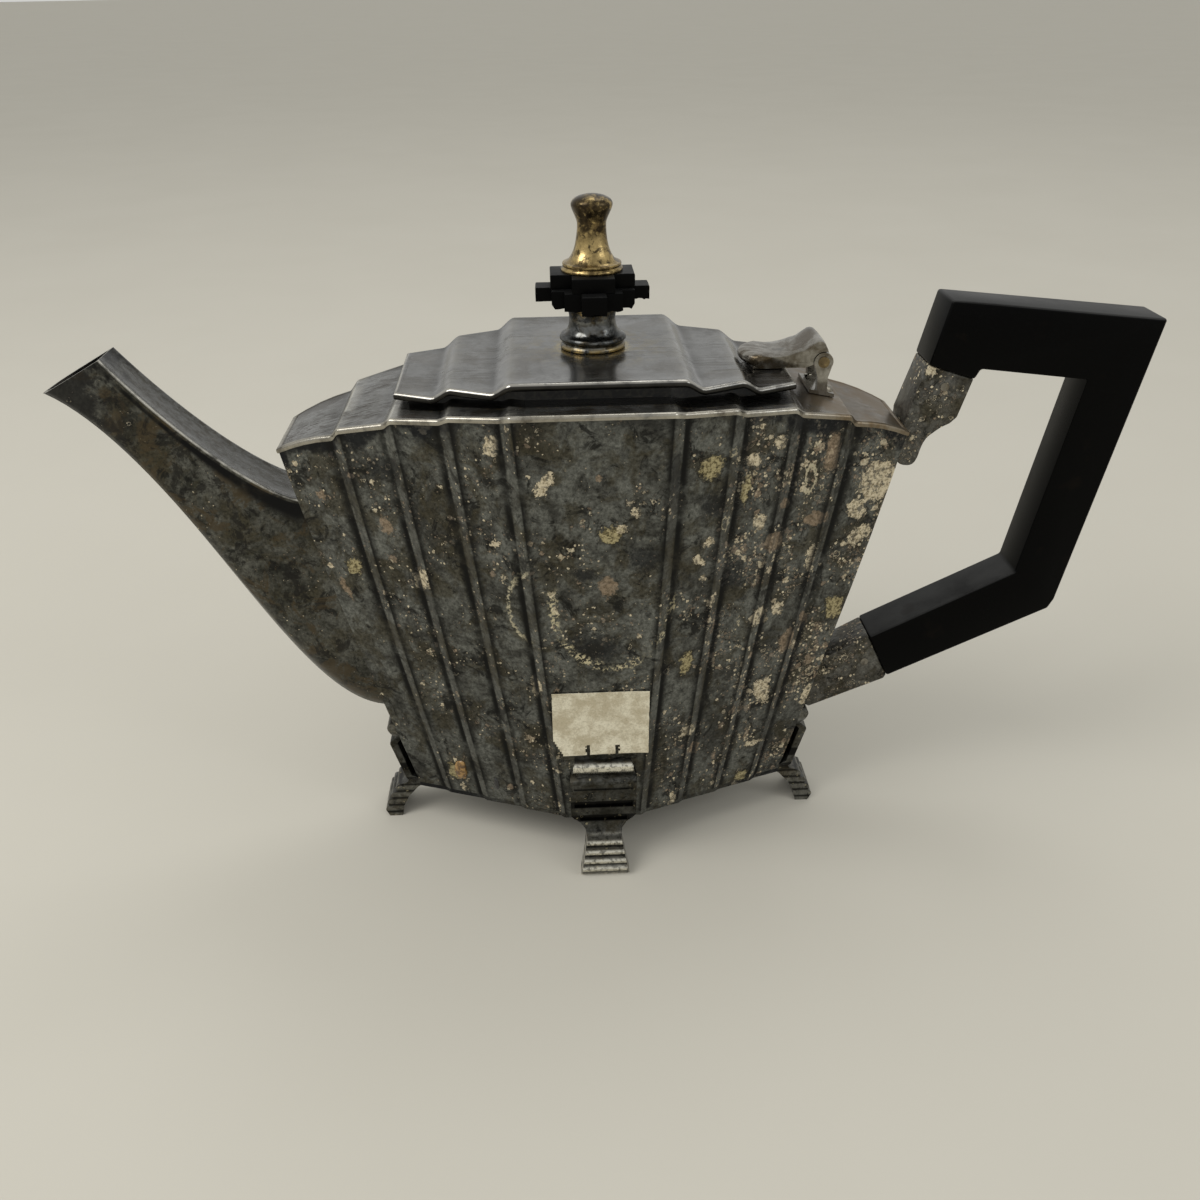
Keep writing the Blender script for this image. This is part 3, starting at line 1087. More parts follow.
# %% Group: wiped streaks
def make_streak_group():
    tree, given, out = new_group(
        "wiped_streaks", {"Place": HERE, "Width": 0.7, "Length": 16.0, "Seed": 0.0},
        {"Streak": FLOAT, "Fine": FLOAT})
    thin = calc(tree, "DIVIDE", 1.0, given["Width"])
    long = calc(tree, "DIVIDE", 1.0, given["Length"])
    scale = add(tree, "ShaderNodeCombineXYZ", {0: long, 1: thin, 2: thin}).outputs[0]
    at = combine(tree, "MULTIPLY", given["Place"], scale)
    at = combine(tree, "ADD", at, alike(tree, given["Seed"]))
    streak = add(tree, "ShaderNodeTexNoise", {"Vector": at, "Scale": 1.0, "Detail": 4.0, "Roughness": 0.65})
    fine = add(tree, "ShaderNodeTexNoise", {"Vector": at, "Scale": 4.0, "Detail": 3.0, "Roughness": 0.6})
    tree.links.new(streak.outputs[0], out["Streak"])
    tree.links.new(fine.outputs[0], out["Fine"])
    return tree

STREAKS = make_streak_group()
print(STREAKS.name, "-", len(STREAKS.nodes), "nodes")

# %% [markdown]
# Every finish starts in the same way: a Principled shader, and the object coordinates
# turned into millimetres.

# %% Starting a finish
def new_finish(name, metallic, **constants):
    """A material with a Principled shader. Returns the material, its tree, the shader and the place."""
    finish = bpy.data.materials.new(name)
    finish.use_nodes = True
    tree = finish.node_tree
    shader = tree.nodes["Principled BSDF"]
    shader.inputs["Metallic"].default_value = metallic
    for key, value in constants.items():
        shader.inputs[key.replace("_", " ")].default_value = value
    coordinates = add(tree, "ShaderNodeTexCoord").outputs["Object"]
    place = add(tree, "ShaderNodeVectorMath", {0: coordinates, "Scale": 1 / MM}, operation="SCALE")
    return finish, tree, shader, place.outputs[0]

def stored(tree, mask):
    """A value that make_piece stored on the mesh."""
    return add(tree, "ShaderNodeAttribute", attribute_name=mask, attribute_type="GEOMETRY").outputs["Fac"]

def bump(tree, shader, height, distance, strength):
    made = add(tree, "ShaderNodeBump", {"Height": height, "Distance": distance * MM, "Strength": strength})
    tree.links.new(made.outputs[0], shader.inputs["Normal"])

# %% [markdown]
# The largest marks on the front of the wall are placed by hand, because they are what a
# person would know this pot by. Each one is an ellipse, given by the place of its middle,
# its half width and half height in millimetres and its lean in degrees. Bending the place
# with noise before measuring turns the ellipses into ragged blots.

# %% The hand-placed marks
CREAM_MARKS = {
    "leaf_left_of_centre": (-16.5, 116.5, 1.3, 3.4, 38), "hook": (-28, 126, 1.6, 2.8, 15),
    "high_left": (-44, 129, 2.2, 1.8, 0), "mottled_left": (-48, 85, 1.9, 2.8, 10),
    "centre_dot": (5, 109, 1.1, 1.2, 0), "low_leaf": (-20, 57.5, 1.2, 3.4, -6),
    "round_high": (40.5, 121.5, 1.5, 1.7, 0), "round_second": (34, 118, 1.5, 1.9, 20),
    "under_round": (36.5, 100.5, 1.6, 2.3, 0), "broad_end": (69, 105, 4.6, 5.6, 25),
    "end_tail": (64, 98, 2.3, 2.8, -30), "end_low": (65.5, 90, 3.2, 2.0, -25),
    "slip_right": (52, 87, 1.2, 3.3, 8), "pair_left": (38.5, 71, 2.3, 2.7, 15),
    "pair_right": (44, 72, 1.4, 1.8, 0), "holed": (41.5, 45, 1.9, 4.2, -12),
    "by_socket": (56, 40, 1.4, 2.4, 10), "star": (23.5, 97.5, 1.0, 1.4, 20),
    "comma": (21, 93, 1.0, 1.5, -25), "wedge": (22.5, 87.5, 0.7, 0.8, 0),
    "low_pair": (20.5, 38.5, 1.7, 1.7, 30), "dots": (25, 80, 0.8, 1.9, 20),
    "chain_top": (-15, 86.5, 0.7, 0.9, 0), "chain_next": (-14.5, 82, 0.6, 1.1, 0),
    "foot_of_wall": (17, 15, 0.8, 1.9, 0), "short_bar": (40.5, 26.5, 2.4, 1.0, 0),
    "haze_core": (2, 104.5, 1.3, 1.2, 0)}
YELLOW_MARKS = {
    "left_end": (-66, 86, 2.2, 2.7, 0), "long_yellow": (32.5, 110, 1.4, 4.6, 8),
    "crackle": (23, 118, 3.0, 3.6, 30), "long_low": (19, 62, 1.7, 4.2, 12),
    "end_cluster": (61, 68, 3.2, 3.9, 0), "bottom": (37.5, 15, 2.2, 2.0, 0),
    "amber_smear": (-44.5, 20.5, 1.5, 3.0, -12), "haze": (-0.5, 103, 3.6, 2.2, -25)}
PINK_MARKS = {
    "disc_left": (-72, 106, 1.3, 1.5, 0), "leaf_left": (-56, 100, 1.7, 2.9, -12),
    "cloud_right": (41, 93.5, 2.8, 3.1, 0), "tan_patch": (52.5, 97.5, 3.6, 2.4, 0),
    "tall_tan": (47.5, 61, 2.3, 4.2, 15), "small_tan": (52, 67, 1.3, 2.5, -10),
    "disc_right": (43, 104, 1.4, 1.7, 0), "drop_low": (22.5, 31, 1.5, 2.5, 15),
    "scab": (-1.5, 88.5, 2.5, 3.3, 0), "seam": (-69, 78.5, 0.9, 3.4, -22),
    "tiny": (-3.5, 118, 0.8, 0.8, 0), "rust_high": (55, 116, 2.2, 6.5, 0)}
RING_MARKS = {
    "long_ring": (49.5, 109.5, 1.7, 4.6, 6), "thin_ring": (27.5, 102, 1.1, 2.5, 0),
    "high_ring": (28.5, 121, 1.2, 1.2, 0), "tiny_ring": (33, 71, 0.8, 0.8, 0),
    "spout_ring": (-86.5, 97, 0.8, 0.9, 0)}
DARK_MARKS = {
    "under_chain": (-4.5, 70, 9.0, 5.5, 0), "right_of_centre": (7.5, 96, 4.5, 4.5, 0),
    "high_edge": (14.5, 118, 1.8, 6.5, 0), "by_scab": (-7.5, 92, 4.0, 2.0, 20),
    "right_hollow": (30, 86, 3.5, 5.0, 0), "far_right": (68, 92, 3.5, 3.0, 0),
    "left_high": (-54, 116, 5.0, 4.0, 0), "high_right": (24, 108, 4.0, 4.0, 0)}

def from_ellipse(tree, flat, x, z, half_width, half_height, lean=0.0):
    """The place measured in half widths and half heights, and its distance from the middle in them."""
    local = add(tree, "ShaderNodeMapping",
                {"Vector": flat, "Location": (x, 0, z), "Rotation": (0, math.radians(lean), 0),
                 "Scale": (half_width, 1, half_height)}, vector_type="TEXTURE").outputs[0]
    return local, combine(tree, "LENGTH", local)

def inside_marks(tree, flat, marks):
    """1 in the middle of the nearest mark, 0 on its outline and negative outside."""
    nearest = None
    for mark in marks.values():
        _, away = from_ellipse(tree, flat, *mark)
        nearest = away if nearest is None else calc(tree, "MINIMUM", nearest, away)
    return calc(tree, "SUBTRACT", 1.0, nearest)

ALL_MARKS = (CREAM_MARKS, YELLOW_MARKS, PINK_MARKS, RING_MARKS, DARK_MARKS)
print("marks placed by hand:", sum(len(marks) for marks in ALL_MARKS))

# %% [markdown]
# A chain of tiny specks runs round the lower middle of the front like a tide mark, and one
# panel has a curved scratch. Both follow a curve: the distance to an ellipse's outline
# is small there, and noise breaks the line into specks.

# %% The tide mark and the scratch
def near_outline(tree, flat, x, z, half_width, half_height, thickness):
    """1 on the outline of an ellipse, fading to 0 at the thickness in millimetres."""
    local, away = from_ellipse(tree, flat, x, z, half_width, half_height)
    gap = times(tree, calc(tree, "ABSOLUTE", calc(tree, "SUBTRACT", away, 1.0)), half_width)
    return remap(tree, gap, thickness, thickness * 0.3), local

TIDE_MARK = {"x": -0.3, "z": 84.0, "half_width": 14.9, "half_height": 20.0}
CURVED_SCRATCH = {"x": -17.8, "z": 82.0, "half_width": 8.4, "half_height": 11.5}
print("tide mark and scratch: middles at x", TIDE_MARK["x"], "and", CURVED_SCRATCH["x"])

# %% [markdown]
# The wall is the darkest metal: grey clouds with olive-brown stains, black grooves, a soot
# band under the folded edge, and pale crusts that crowd towards the handle. Each of them is
# painted over the last one by its own short function, and the crusts come first.

# %% Crusts on the wall
CRUSTS_FROM_X, CRUSTS_FULL_X = 10.0, 34.0      # between these the crusts grow denser towards the handle
CRUST_SIZES = (  # size, amount, raggedness, seed and strength of each layer of flakes
    (6.5, 0.45, 1.1, 3.0, 0.9), (2.4, 0.8, 0.6, 8.0, 0.9), (0.9, 1.0, 0.25, 21.0, 1.0))

def crowding(tree, place, x):
    """How many crusts there are: more towards the handle, and in groups."""
    toward_handle = remap(tree, x, CRUSTS_FROM_X, CRUSTS_FULL_X, 0.56, 1.0)
    grouped = remap(tree, cloud(tree, place, 13.0, 3.0, 0.5, 12.0), 0.36, 0.6, 0.2, 1.15)
    return times(tree, toward_handle, grouped)

def crust_colours(tree, place):
    """The grain inside a crust, and the cream and the tan that it gives."""
    grain = cloud(tree, place, 0.8, 4.0, 0.7, 15.0)
    cream = tint(tree, remap(tree, grain, 0.34, 0.56), (0.19, 0.15, 0.085), (0.62, 0.54, 0.38))
    tan = tint(tree, remap(tree, grain, 0.35, 0.62), (0.13, 0.09, 0.05), (0.34, 0.255, 0.17))
    return grain, cream, tan

def add_crusts(tree, place, colour, crowd, crusts, cream, tan):
    """Paints crusts of three sizes. Returns the colour, and a mask of the crusts."""
    lifted = None
    for size, amount, ragged, seed, strength in CRUST_SIZES:
        spots = use(tree, FLAKES, {"Place": place, "Size": size,
                                   "Amount": times(tree, crowd, amount * crusts),
                                   "Ragged": ragged, "Seed": seed})
        colour = tint(tree, times(tree, spots["Ring"], 0.5), colour, (0.01, 0.009, 0.006))
        share_of = times(tree, spots["Flake"],
                         remap(tree, spots["Tone"], 0.0, 0.8, 0.35, strength, "LINEAR"))
        warm = tint(tree, remap(tree, spots["Tone"], 0.4, 0.6), tan, cream)
        colour = tint(tree, share_of, colour, warm)
        lifted = spots["Flake"] if lifted is None else calc(tree, "MAXIMUM", lifted, spots["Flake"])
    return colour, lifted

# %% [markdown]
# The placed marks are painted from the dark patches up to the palest crusts, each with a
# torn outline. Thin rings, the tide mark and the scratch come last, because they are the
# sharpest. A mask that fades out behind the front keeps the back free of them.

# %% Marks on the front
MARKS_FROM_Y, MARKS_FULL_Y = -3.0, -6.0        # between these the placed marks fade in, on the front only

def front_of_wall(tree, place, y):
    """The place bent by noise and laid flat on the front, and a mask of the front."""
    pushed = combine(tree, "MULTIPLY_ADD", drift(tree, place, 0.55, 6.0, 0.74), (4.6, 0, 4.6), place)
    flat = combine(tree, "MULTIPLY", pushed, (1, 0, 1))
    facing = remap(tree, y, MARKS_FROM_Y, MARKS_FULL_Y)
    return flat, facing

def add_placed_marks(tree, place, flat, facing, colour, grain, cream, tan):
    """Returns the colour, and masks of the cream and the pink marks."""
    torn = calc(tree, "SUBTRACT", cloud(tree, place, 2.2, 6.0, 0.78, 44.0, 0.4), 0.5)
    def placed(marks, soft=0.1, low=-0.12, ragged=2.2):
        depth = calc(tree, "MULTIPLY_ADD", torn, ragged, inside_marks(tree, flat, marks))
        return times(tree, remap(tree, depth, low, low + soft), facing)
    colour = tint(tree, times(tree, placed(DARK_MARKS, 0.7), 0.75), colour, (0.012, 0.013, 0.014))
    pink = placed(PINK_MARKS, 0.25, 0.0, 1.6)
    yellow = placed(YELLOW_MARKS, 0.3, 0.0, 2.2)
    pale = placed(CREAM_MARKS)
    halo = placed({**CREAM_MARKS, **YELLOW_MARKS}, 0.25, -0.3)
    colour = tint(tree, times(tree, halo, 0.6), colour, (0.014, 0.012, 0.008))
    colour = tint(tree, times(tree, pink, 0.75), colour, tan)
    ochre = tint(tree, remap(tree, grain, 0.36, 0.6), (0.12, 0.095, 0.04), (0.46, 0.4, 0.23))
    colour = tint(tree, times(tree, yellow, remap(tree, grain, 0.3, 0.5, 0.45, 1.0)), colour, ochre)
    holes = remap(tree, cloud(tree, place, 1.5, 4.0, 0.7, 73.0), 0.4, 0.5, 0.2, 1.0)
    colour = tint(tree, times(tree, pale, holes), colour, cream)
    return colour, pale, pink

def add_drawn_lines(tree, place, flat, facing, colour, grain):
    """Thin rings, the specks of the tide mark and the curved scratch."""
    ring = inside_marks(tree, flat, RING_MARKS)
    rim = times(tree, remap(tree, ring, 0.0, 0.12), remap(tree, ring, 0.45, 0.3), facing)
    colour = tint(tree, rim, colour, (0.5, 0.45, 0.32))
    tide, at_tide = near_outline(tree, flat, **TIDE_MARK, thickness=1.3)
    low = remap(tree, axes(tree, at_tide)[2], 0.25, 0.0)
    crumbs = remap(tree, cloud(tree, place, 0.8, 3.0, 0.6, 31.0), 0.5, 0.55)
    grouped_crumbs = remap(tree, cloud(tree, place, 5.0, 2.0, 0.5, 52.0), 0.38, 0.52, 0.1, 1.0)
    crumbs = times(tree, crumbs, grouped_crumbs)
    tide = times(tree, tide, low, times(tree, crumbs, facing))
    colour = tint(tree, tide, colour, (0.6, 0.54, 0.36))
    scratch, at_scratch = near_outline(tree, flat, **CURVED_SCRATCH, thickness=0.55)
    left = remap(tree, axes(tree, at_scratch)[0], -0.2, -0.5)
    scratch = times(tree, scratch, left, times(tree, remap(tree, grain, 0.4, 0.5), facing))
    colour = tint(tree, scratch, colour, (0.5, 0.46, 0.33))
    return colour

# %% [markdown]
# Soot hangs under the folded edge, darker at the ends than in the middle. The flat top of
# the spout was polished instead, with a bead along both its edges and a black mouth. Both
# end with the worn edges, which use the masks that the meshes carry.

# %% Soot, worn edges and the spout's top
MOUTH_GREY_X, MOUTH_BLACK_X = -118.0, -127.0   # between these the spout blackens towards its mouth

def add_soot(tree, place, x, colour):
    """Soot under the folded edge. The mask says how far each point lies below it."""
    below = calc(tree, "ADD", stored(tree, "below"),
                 remap(tree, cloud(tree, place, 6.0, 4.0, 0.6, 18.0), 0.3, 0.7, -3.2, 2.6))
    outward = remap(tree, calc(tree, "ABSOLUTE", x), 24.0, 44.0, 0.35, 1.0)
    sooty = times(tree, remap(tree, below, 5.0, 1.2, 0.0, 0.93), outward)
    return tint(tree, sooty, colour, (0.006, 0.007, 0.009))

def wear_edges(tree, place, colour, groove_low, groove_high, bright, black, wear):
    """Bright crests and black grooves, from the masks that the mesh carries."""
    edges = use(tree, EDGES, {"Place": place, "Base": colour, "Crest": stored(tree, "crest"),
                              "Groove": remap(tree, stored(tree, "groove"), groove_low, groove_high),
                              "Bright": bright, "Black": black, "Wear": wear, "Dirt": 1.0})
    return edges["Color"]

def polish_spout(tree, place, x, film, colour):
    """Returns the colour, and masks of the polished top and of the black mouth."""
    smooth = stored(tree, "top")
    rust = remap(tree, cloud(tree, place, 11.0, 6.0, 0.74, 61.0, 0.6), 0.52, 0.6)
    colour = tint(tree, times(tree, rust, 0.75), colour, (0.066, 0.049, 0.026))
    sooty = remap(tree, cloud(tree, place, 9.0, 6.0, 0.75, 66.0, 0.5), 0.53, 0.6)
    colour = tint(tree, times(tree, sooty, 0.8), colour, (0.014, 0.013, 0.011))
    wiped = use(tree, STREAKS, {"Place": place, "Width": 1.2, "Length": 12.0, "Seed": 9.0})
    polished = tint(tree, remap(tree, wiped["Streak"], 0.36, 0.66), (0.13, 0.13, 0.124),
                    (0.065, 0.06, 0.05))
    colour = tint(tree, times(tree, smooth, 0.85), colour, polished)
    mouth = remap(tree, calc(tree, "ADD", x, remap(tree, film["Patch"], 0.4, 0.6, -5.0, 5.0)),
                  MOUTH_GREY_X, MOUTH_BLACK_X)
    colour = tint(tree, times(tree, mouth, 0.75), colour, (0.012, 0.012, 0.013))
    return colour, smooth, mouth

# %% Finish: tarnished wall
def make_wall_finish(name, crusts=1.0, front=True, beaded=False, light=(0.138, 0.142, 0.128),
                     dark=(0.042, 0.042, 0.037)):
    finish, tree, shader, place = new_finish(name, 0.7, Specular_IOR_Level=0.4)
    x, y, _ = axes(tree, place)
    film = use(tree, TARNISH, {"Place": place, "Size": 13.0, "Light": light, "Dark": dark,
                               "Brown": (0.042, 0.035, 0.018),
                               "Black": (0.008, 0.008, 0.007), "Stains": 0.65, "Blots": 0.85, "Grain": 0.6})
    colour = film["Color"]
    crowd = crowding(tree, place, x)
    grain, cream, tan = crust_colours(tree, place)
    colour, lifted = add_crusts(tree, place, colour, crowd, crusts, cream, tan)
    crusted = lifted
    if front:
        flat, facing = front_of_wall(tree, place, y)
        colour, pale, pink = add_placed_marks(tree, place, flat, facing, colour, grain, cream, tan)
        colour = add_drawn_lines(tree, place, flat, facing, colour, grain)
        crusted = calc(tree, "MAXIMUM", lifted, calc(tree, "MAXIMUM", pale, times(tree, pink, 0.6)))
        colour = add_soot(tree, place, x, colour)
        colour = wear_edges(tree, place, colour, 0.15, 0.8, (0.115, 0.113, 0.1), (0.005, 0.005, 0.0045),
                            0.3)
    if beaded:
        colour, smooth, mouth = polish_spout(tree, place, x, film, colour)
        colour = wear_edges(tree, place, colour, 0.1, 0.7, (0.55, 0.53, 0.47), (0.004, 0.004, 0.004), 0.8)
    tree.links.new(colour, shader.inputs["Base Color"])
    rough = calc(tree, "ADD", remap(tree, film["Patch"], 0.4, 0.62, 0.3, 0.46), times(tree, crusted, 0.28))
    if beaded:
        rough = calc(tree, "MULTIPLY_ADD", calc(tree, "MAXIMUM", smooth, mouth), -0.14, rough)
    tree.links.new(rough, shader.inputs["Roughness"])
    tree.links.new(calc(tree, "SUBTRACT", 0.7, times(tree, crusted, 0.55)), shader.inputs["Metallic"])
    pits = calc(tree, "MULTIPLY_ADD", film["Fine"], 0.35, times(tree, lifted, 0.7))
    bump(tree, shader, calc(tree, "MULTIPLY_ADD", film["Patch"], 1.2, pits), 0.08, 0.8)
    return finish

WALL_FINISH = make_wall_finish("tarnished_wall")
SPOUT_FINISH = make_wall_finish("tarnished_spout", 0.55, front=False, beaded=True,
                                light=(0.1, 0.1, 0.086), dark=(0.034, 0.034, 0.027))
print("wall finishes:", WALL_FINISH.name, "and", SPOUT_FINISH.name)

# %% [markdown]
# The shoulder and the lid were polished for longer. They keep a smooth grey gloss with
# brown streaks, and their rolled rims are the brightest lines on the pot.

# %% Marks on the shoulder and the lid
LID_BEND_X, LID_END_X = 20.0, 50.0          # along here the lid's front edge steps back
LID_EDGE_Y, LID_EDGE_FALL = 31.5, 0.44      # that edge before the bend, and its mean slope after it
BRIGHT_TO_X, BROWN_FROM_X = 42.0, 54.0      # between these the shoulder turns brown, near the handle

def shade_under_lid(tree, place, x, y, colour):
    """The ledge under the lid, and the dirt line where its hem keeps it from being wiped."""
    past_step = remap(tree, calc(tree, "ABSOLUTE", x), LID_BEND_X, LID_END_X, 0.0,
                      LID_END_X - LID_BEND_X, "LINEAR")
    lid_edge = calc(tree, "MULTIPLY_ADD", past_step, -LID_EDGE_FALL, LID_EDGE_Y)
    in_front = calc(tree, "SUBTRACT", calc(tree, "ABSOLUTE", y), lid_edge)
    within = remap(tree, calc(tree, "ABSOLUTE", x), 50.5, 48.0)
    residue = times(tree, remap(tree, in_front, 2.8, 1.6),
                    remap(tree, cloud(tree, place, 1.2, 5.0, 0.7, 17.0), 0.5, 0.6))
    colour = tint(tree, times(tree, residue, within, 0.6), colour, (0.3, 0.24, 0.13))
    hidden = times(tree, remap(tree, in_front, 2.2, 0.9), within)
    colour = tint(tree, times(tree, hidden, 0.93), colour, (0.004, 0.004, 0.004))
    return colour

def add_knob_residue(tree, place, colour):
    """Yellow residue round the knob's foot."""
    from_knob = combine(tree, "SUBTRACT", place, (-MIDDLE, 0, 0))
    away = combine(tree, "LENGTH", combine(tree, "MULTIPLY", from_knob, (1, 1, 0)))
    splash = times(tree, remap(tree, away, 24.0, 8.0),
                   remap(tree, cloud(tree, place, 3.4, 6.0, 0.72, 19.0), 0.44, 0.6))
    colour = tint(tree, times(tree, splash, 0.75), colour, (0.2, 0.165, 0.09))
    crumb = times(tree, remap(tree, away, 10.5, 8.4),
                  remap(tree, cloud(tree, place, 1.0, 5.0, 0.7, 23.0), 0.45, 0.55))
    colour = tint(tree, crumb, colour, (0.34, 0.28, 0.14))
    return colour

def light_hem(tree, place, colour):
    """Light catches the top of the rolled hem, and its underside is black."""
    broken = remap(tree, cloud(tree, place, 5.0, 4.0, 0.65, 11.0), 0.34, 0.52, 0.3, 1.0)
    outer = remap(tree, stored(tree, "edge"), 1.0, 0.7)
    lower = times(tree, outer, remap(tree, stored(tree, "drop"), 0.3, 0.6))
    colour = tint(tree, times(tree, outer, broken, 0.7), colour, (0.5, 0.48, 0.43))
    colour = tint(tree, times(tree, lower, 0.93), colour, (0.012, 0.011, 0.009))
    return colour

def light_rim(tree, place, colour, rim):
    """The rolled rim shines in broken stretches."""
    inset_mm = stored(tree, "edge")
    broken = remap(tree, cloud(tree, place, 5.0, 4.0, 0.65, 11.0), 0.3, 0.55, 0.35, 1.0)
    on_rim = remap(tree, inset_mm, 0.9, 0.4)
    colour = tint(tree, times(tree, on_rim, broken, rim), colour, (0.46, 0.43, 0.36))
    return colour

def brown_by_handle(tree, place, x):
    """The shoulder is brown and matt near the handle, where polish never got to it."""
    return times(tree, remap(tree, x, BRIGHT_TO_X, BROWN_FROM_X),
                 remap(tree, cloud(tree, place, 9.0, 5.0, 0.7, 27.0), 0.36, 0.56, 0.5, 1.0))

# %% Finish: streaked plate
def make_plate_finish(name, light, dark, brown, streak_share, rim=0.0, gloss=0.2, stains=0.5,
                      wear=0.3, bright=(0.3, 0.285, 0.24), under_lid=False, knob_residue=False, hem=False):
    finish, tree, shader, place = new_finish(name, 0.88, Specular_IOR_Level=0.5)
    film = use(tree, TARNISH, {"Place": place, "Size": 18.0, "Light": light, "Dark": dark, "Brown": brown,
                               "Black": (0.02, 0.016, 0.011), "Stains": stains, "Blots": stains * 0.6,
                               "Grain": 0.12})
    wiped = use(tree, STREAKS, {"Place": place, "Width": 0.8, "Length": 15.0, "Seed": 4.0})
    dirt = times(tree, remap(tree, wiped["Streak"], 0.48, 0.6),
                 remap(tree, cloud(tree, place, 19.0, 3.0, 0.5, 3.0), 0.38, 0.58))
    colour = tint(tree, times(tree, dirt, streak_share), film["Color"], brown)
    specks = use(tree, FLAKES, {"Place": place, "Size": 1.6, "Amount": 0.12, "Ragged": 0.3, "Seed": 5.0})
    colour = tint(tree, times(tree, specks["Flake"], 0.5), colour, (0.26, 0.235, 0.16))
    edges = use(tree, EDGES, {"Place": place, "Base": colour, "Crest": stored(tree, "crest"),
                              "Groove": stored(tree, "groove"), "Bright": bright,
                              "Black": (0.012, 0.011, 0.009), "Wear": wear, "Dirt": 0.8})
    colour = edges["Color"]
    x, y, _ = axes(tree, place)
    if under_lid:
        colour = shade_under_lid(tree, place, x, y, colour)
    if knob_residue:
        colour = add_knob_residue(tree, place, colour)
    if hem:
        colour = light_hem(tree, place, colour)
    if rim:
        colour = light_rim(tree, place, colour, rim)
        tan = brown_by_handle(tree, place, x)
        colour = tint(tree, times(tree, tan, 0.92), colour, (0.15, 0.105, 0.055))
        dirt = calc(tree, "MAXIMUM", dirt, tan)
    tree.links.new(colour, shader.inputs["Base Color"])
    rough = remap(tree, film["Patch"], 0.4, 0.6, gloss + 0.06, gloss, "LINEAR")
    tree.links.new(calc(tree, "ADD", rough, times(tree, dirt, 0.15)), shader.inputs["Roughness"])
    bump(tree, shader, film["Patch"], 0.05, 0.4)
    return finish

SHOULDER_FINISH = make_plate_finish("streaked_shoulder", (0.2, 0.2, 0.192), (0.09, 0.087, 0.075),
                                    (0.034, 0.024, 0.013), 0.9, rim=0.7, stains=0.8,
                                    wear=0.9, bright=(0.62, 0.6, 0.53), under_lid=True)
LID_FINISH = make_plate_finish("smooth_lid", (0.2, 0.2, 0.197), (0.14, 0.139, 0.134), (0.07, 0.058, 0.04),
                               0.25, gloss=0.13, stains=0.5, wear=0.45, knob_residue=True, hem=True)
FITTING_FINISH = make_plate_finish("worn_fittings", (0.33, 0.315, 0.28), (0.15, 0.136, 0.11),
                                   (0.085, 0.066, 0.04), 0.12, gloss=0.15, stains=1.0)
SOCKET_FINISH = make_wall_finish("pitted_sockets", 0.75, front=False, light=(0.13, 0.128, 0.115),
                                 dark=(0.045, 0.042, 0.034))
print("plate finishes:", SHOULDER_FINISH.name, LID_FINISH.name, FITTING_FINISH.name, SOCKET_FINISH.name)

# %% [markdown]
# Hands and polishing cloths reach only the proud parts of a foot. So the rolled bar and
# the reeds of the toe stay bright, and the recess and the grooves between the reeds are
# black. Height above the table tells them apart, and the front and back feet are polished
# brighter than the two at the ends.

# %% Finish: polished and sooty feet
REED_AT_Z, REED_PITCH = 8.6, 2.1
TOE_TOP_Z, RECESS_LOW_Z, RECESS_TOP_Z = 10.6, 11.2, 28.6
DULL_Y, POLISHED_Y = 12.0, 24.0             # the two end feet are on the middle line, the others are beyond

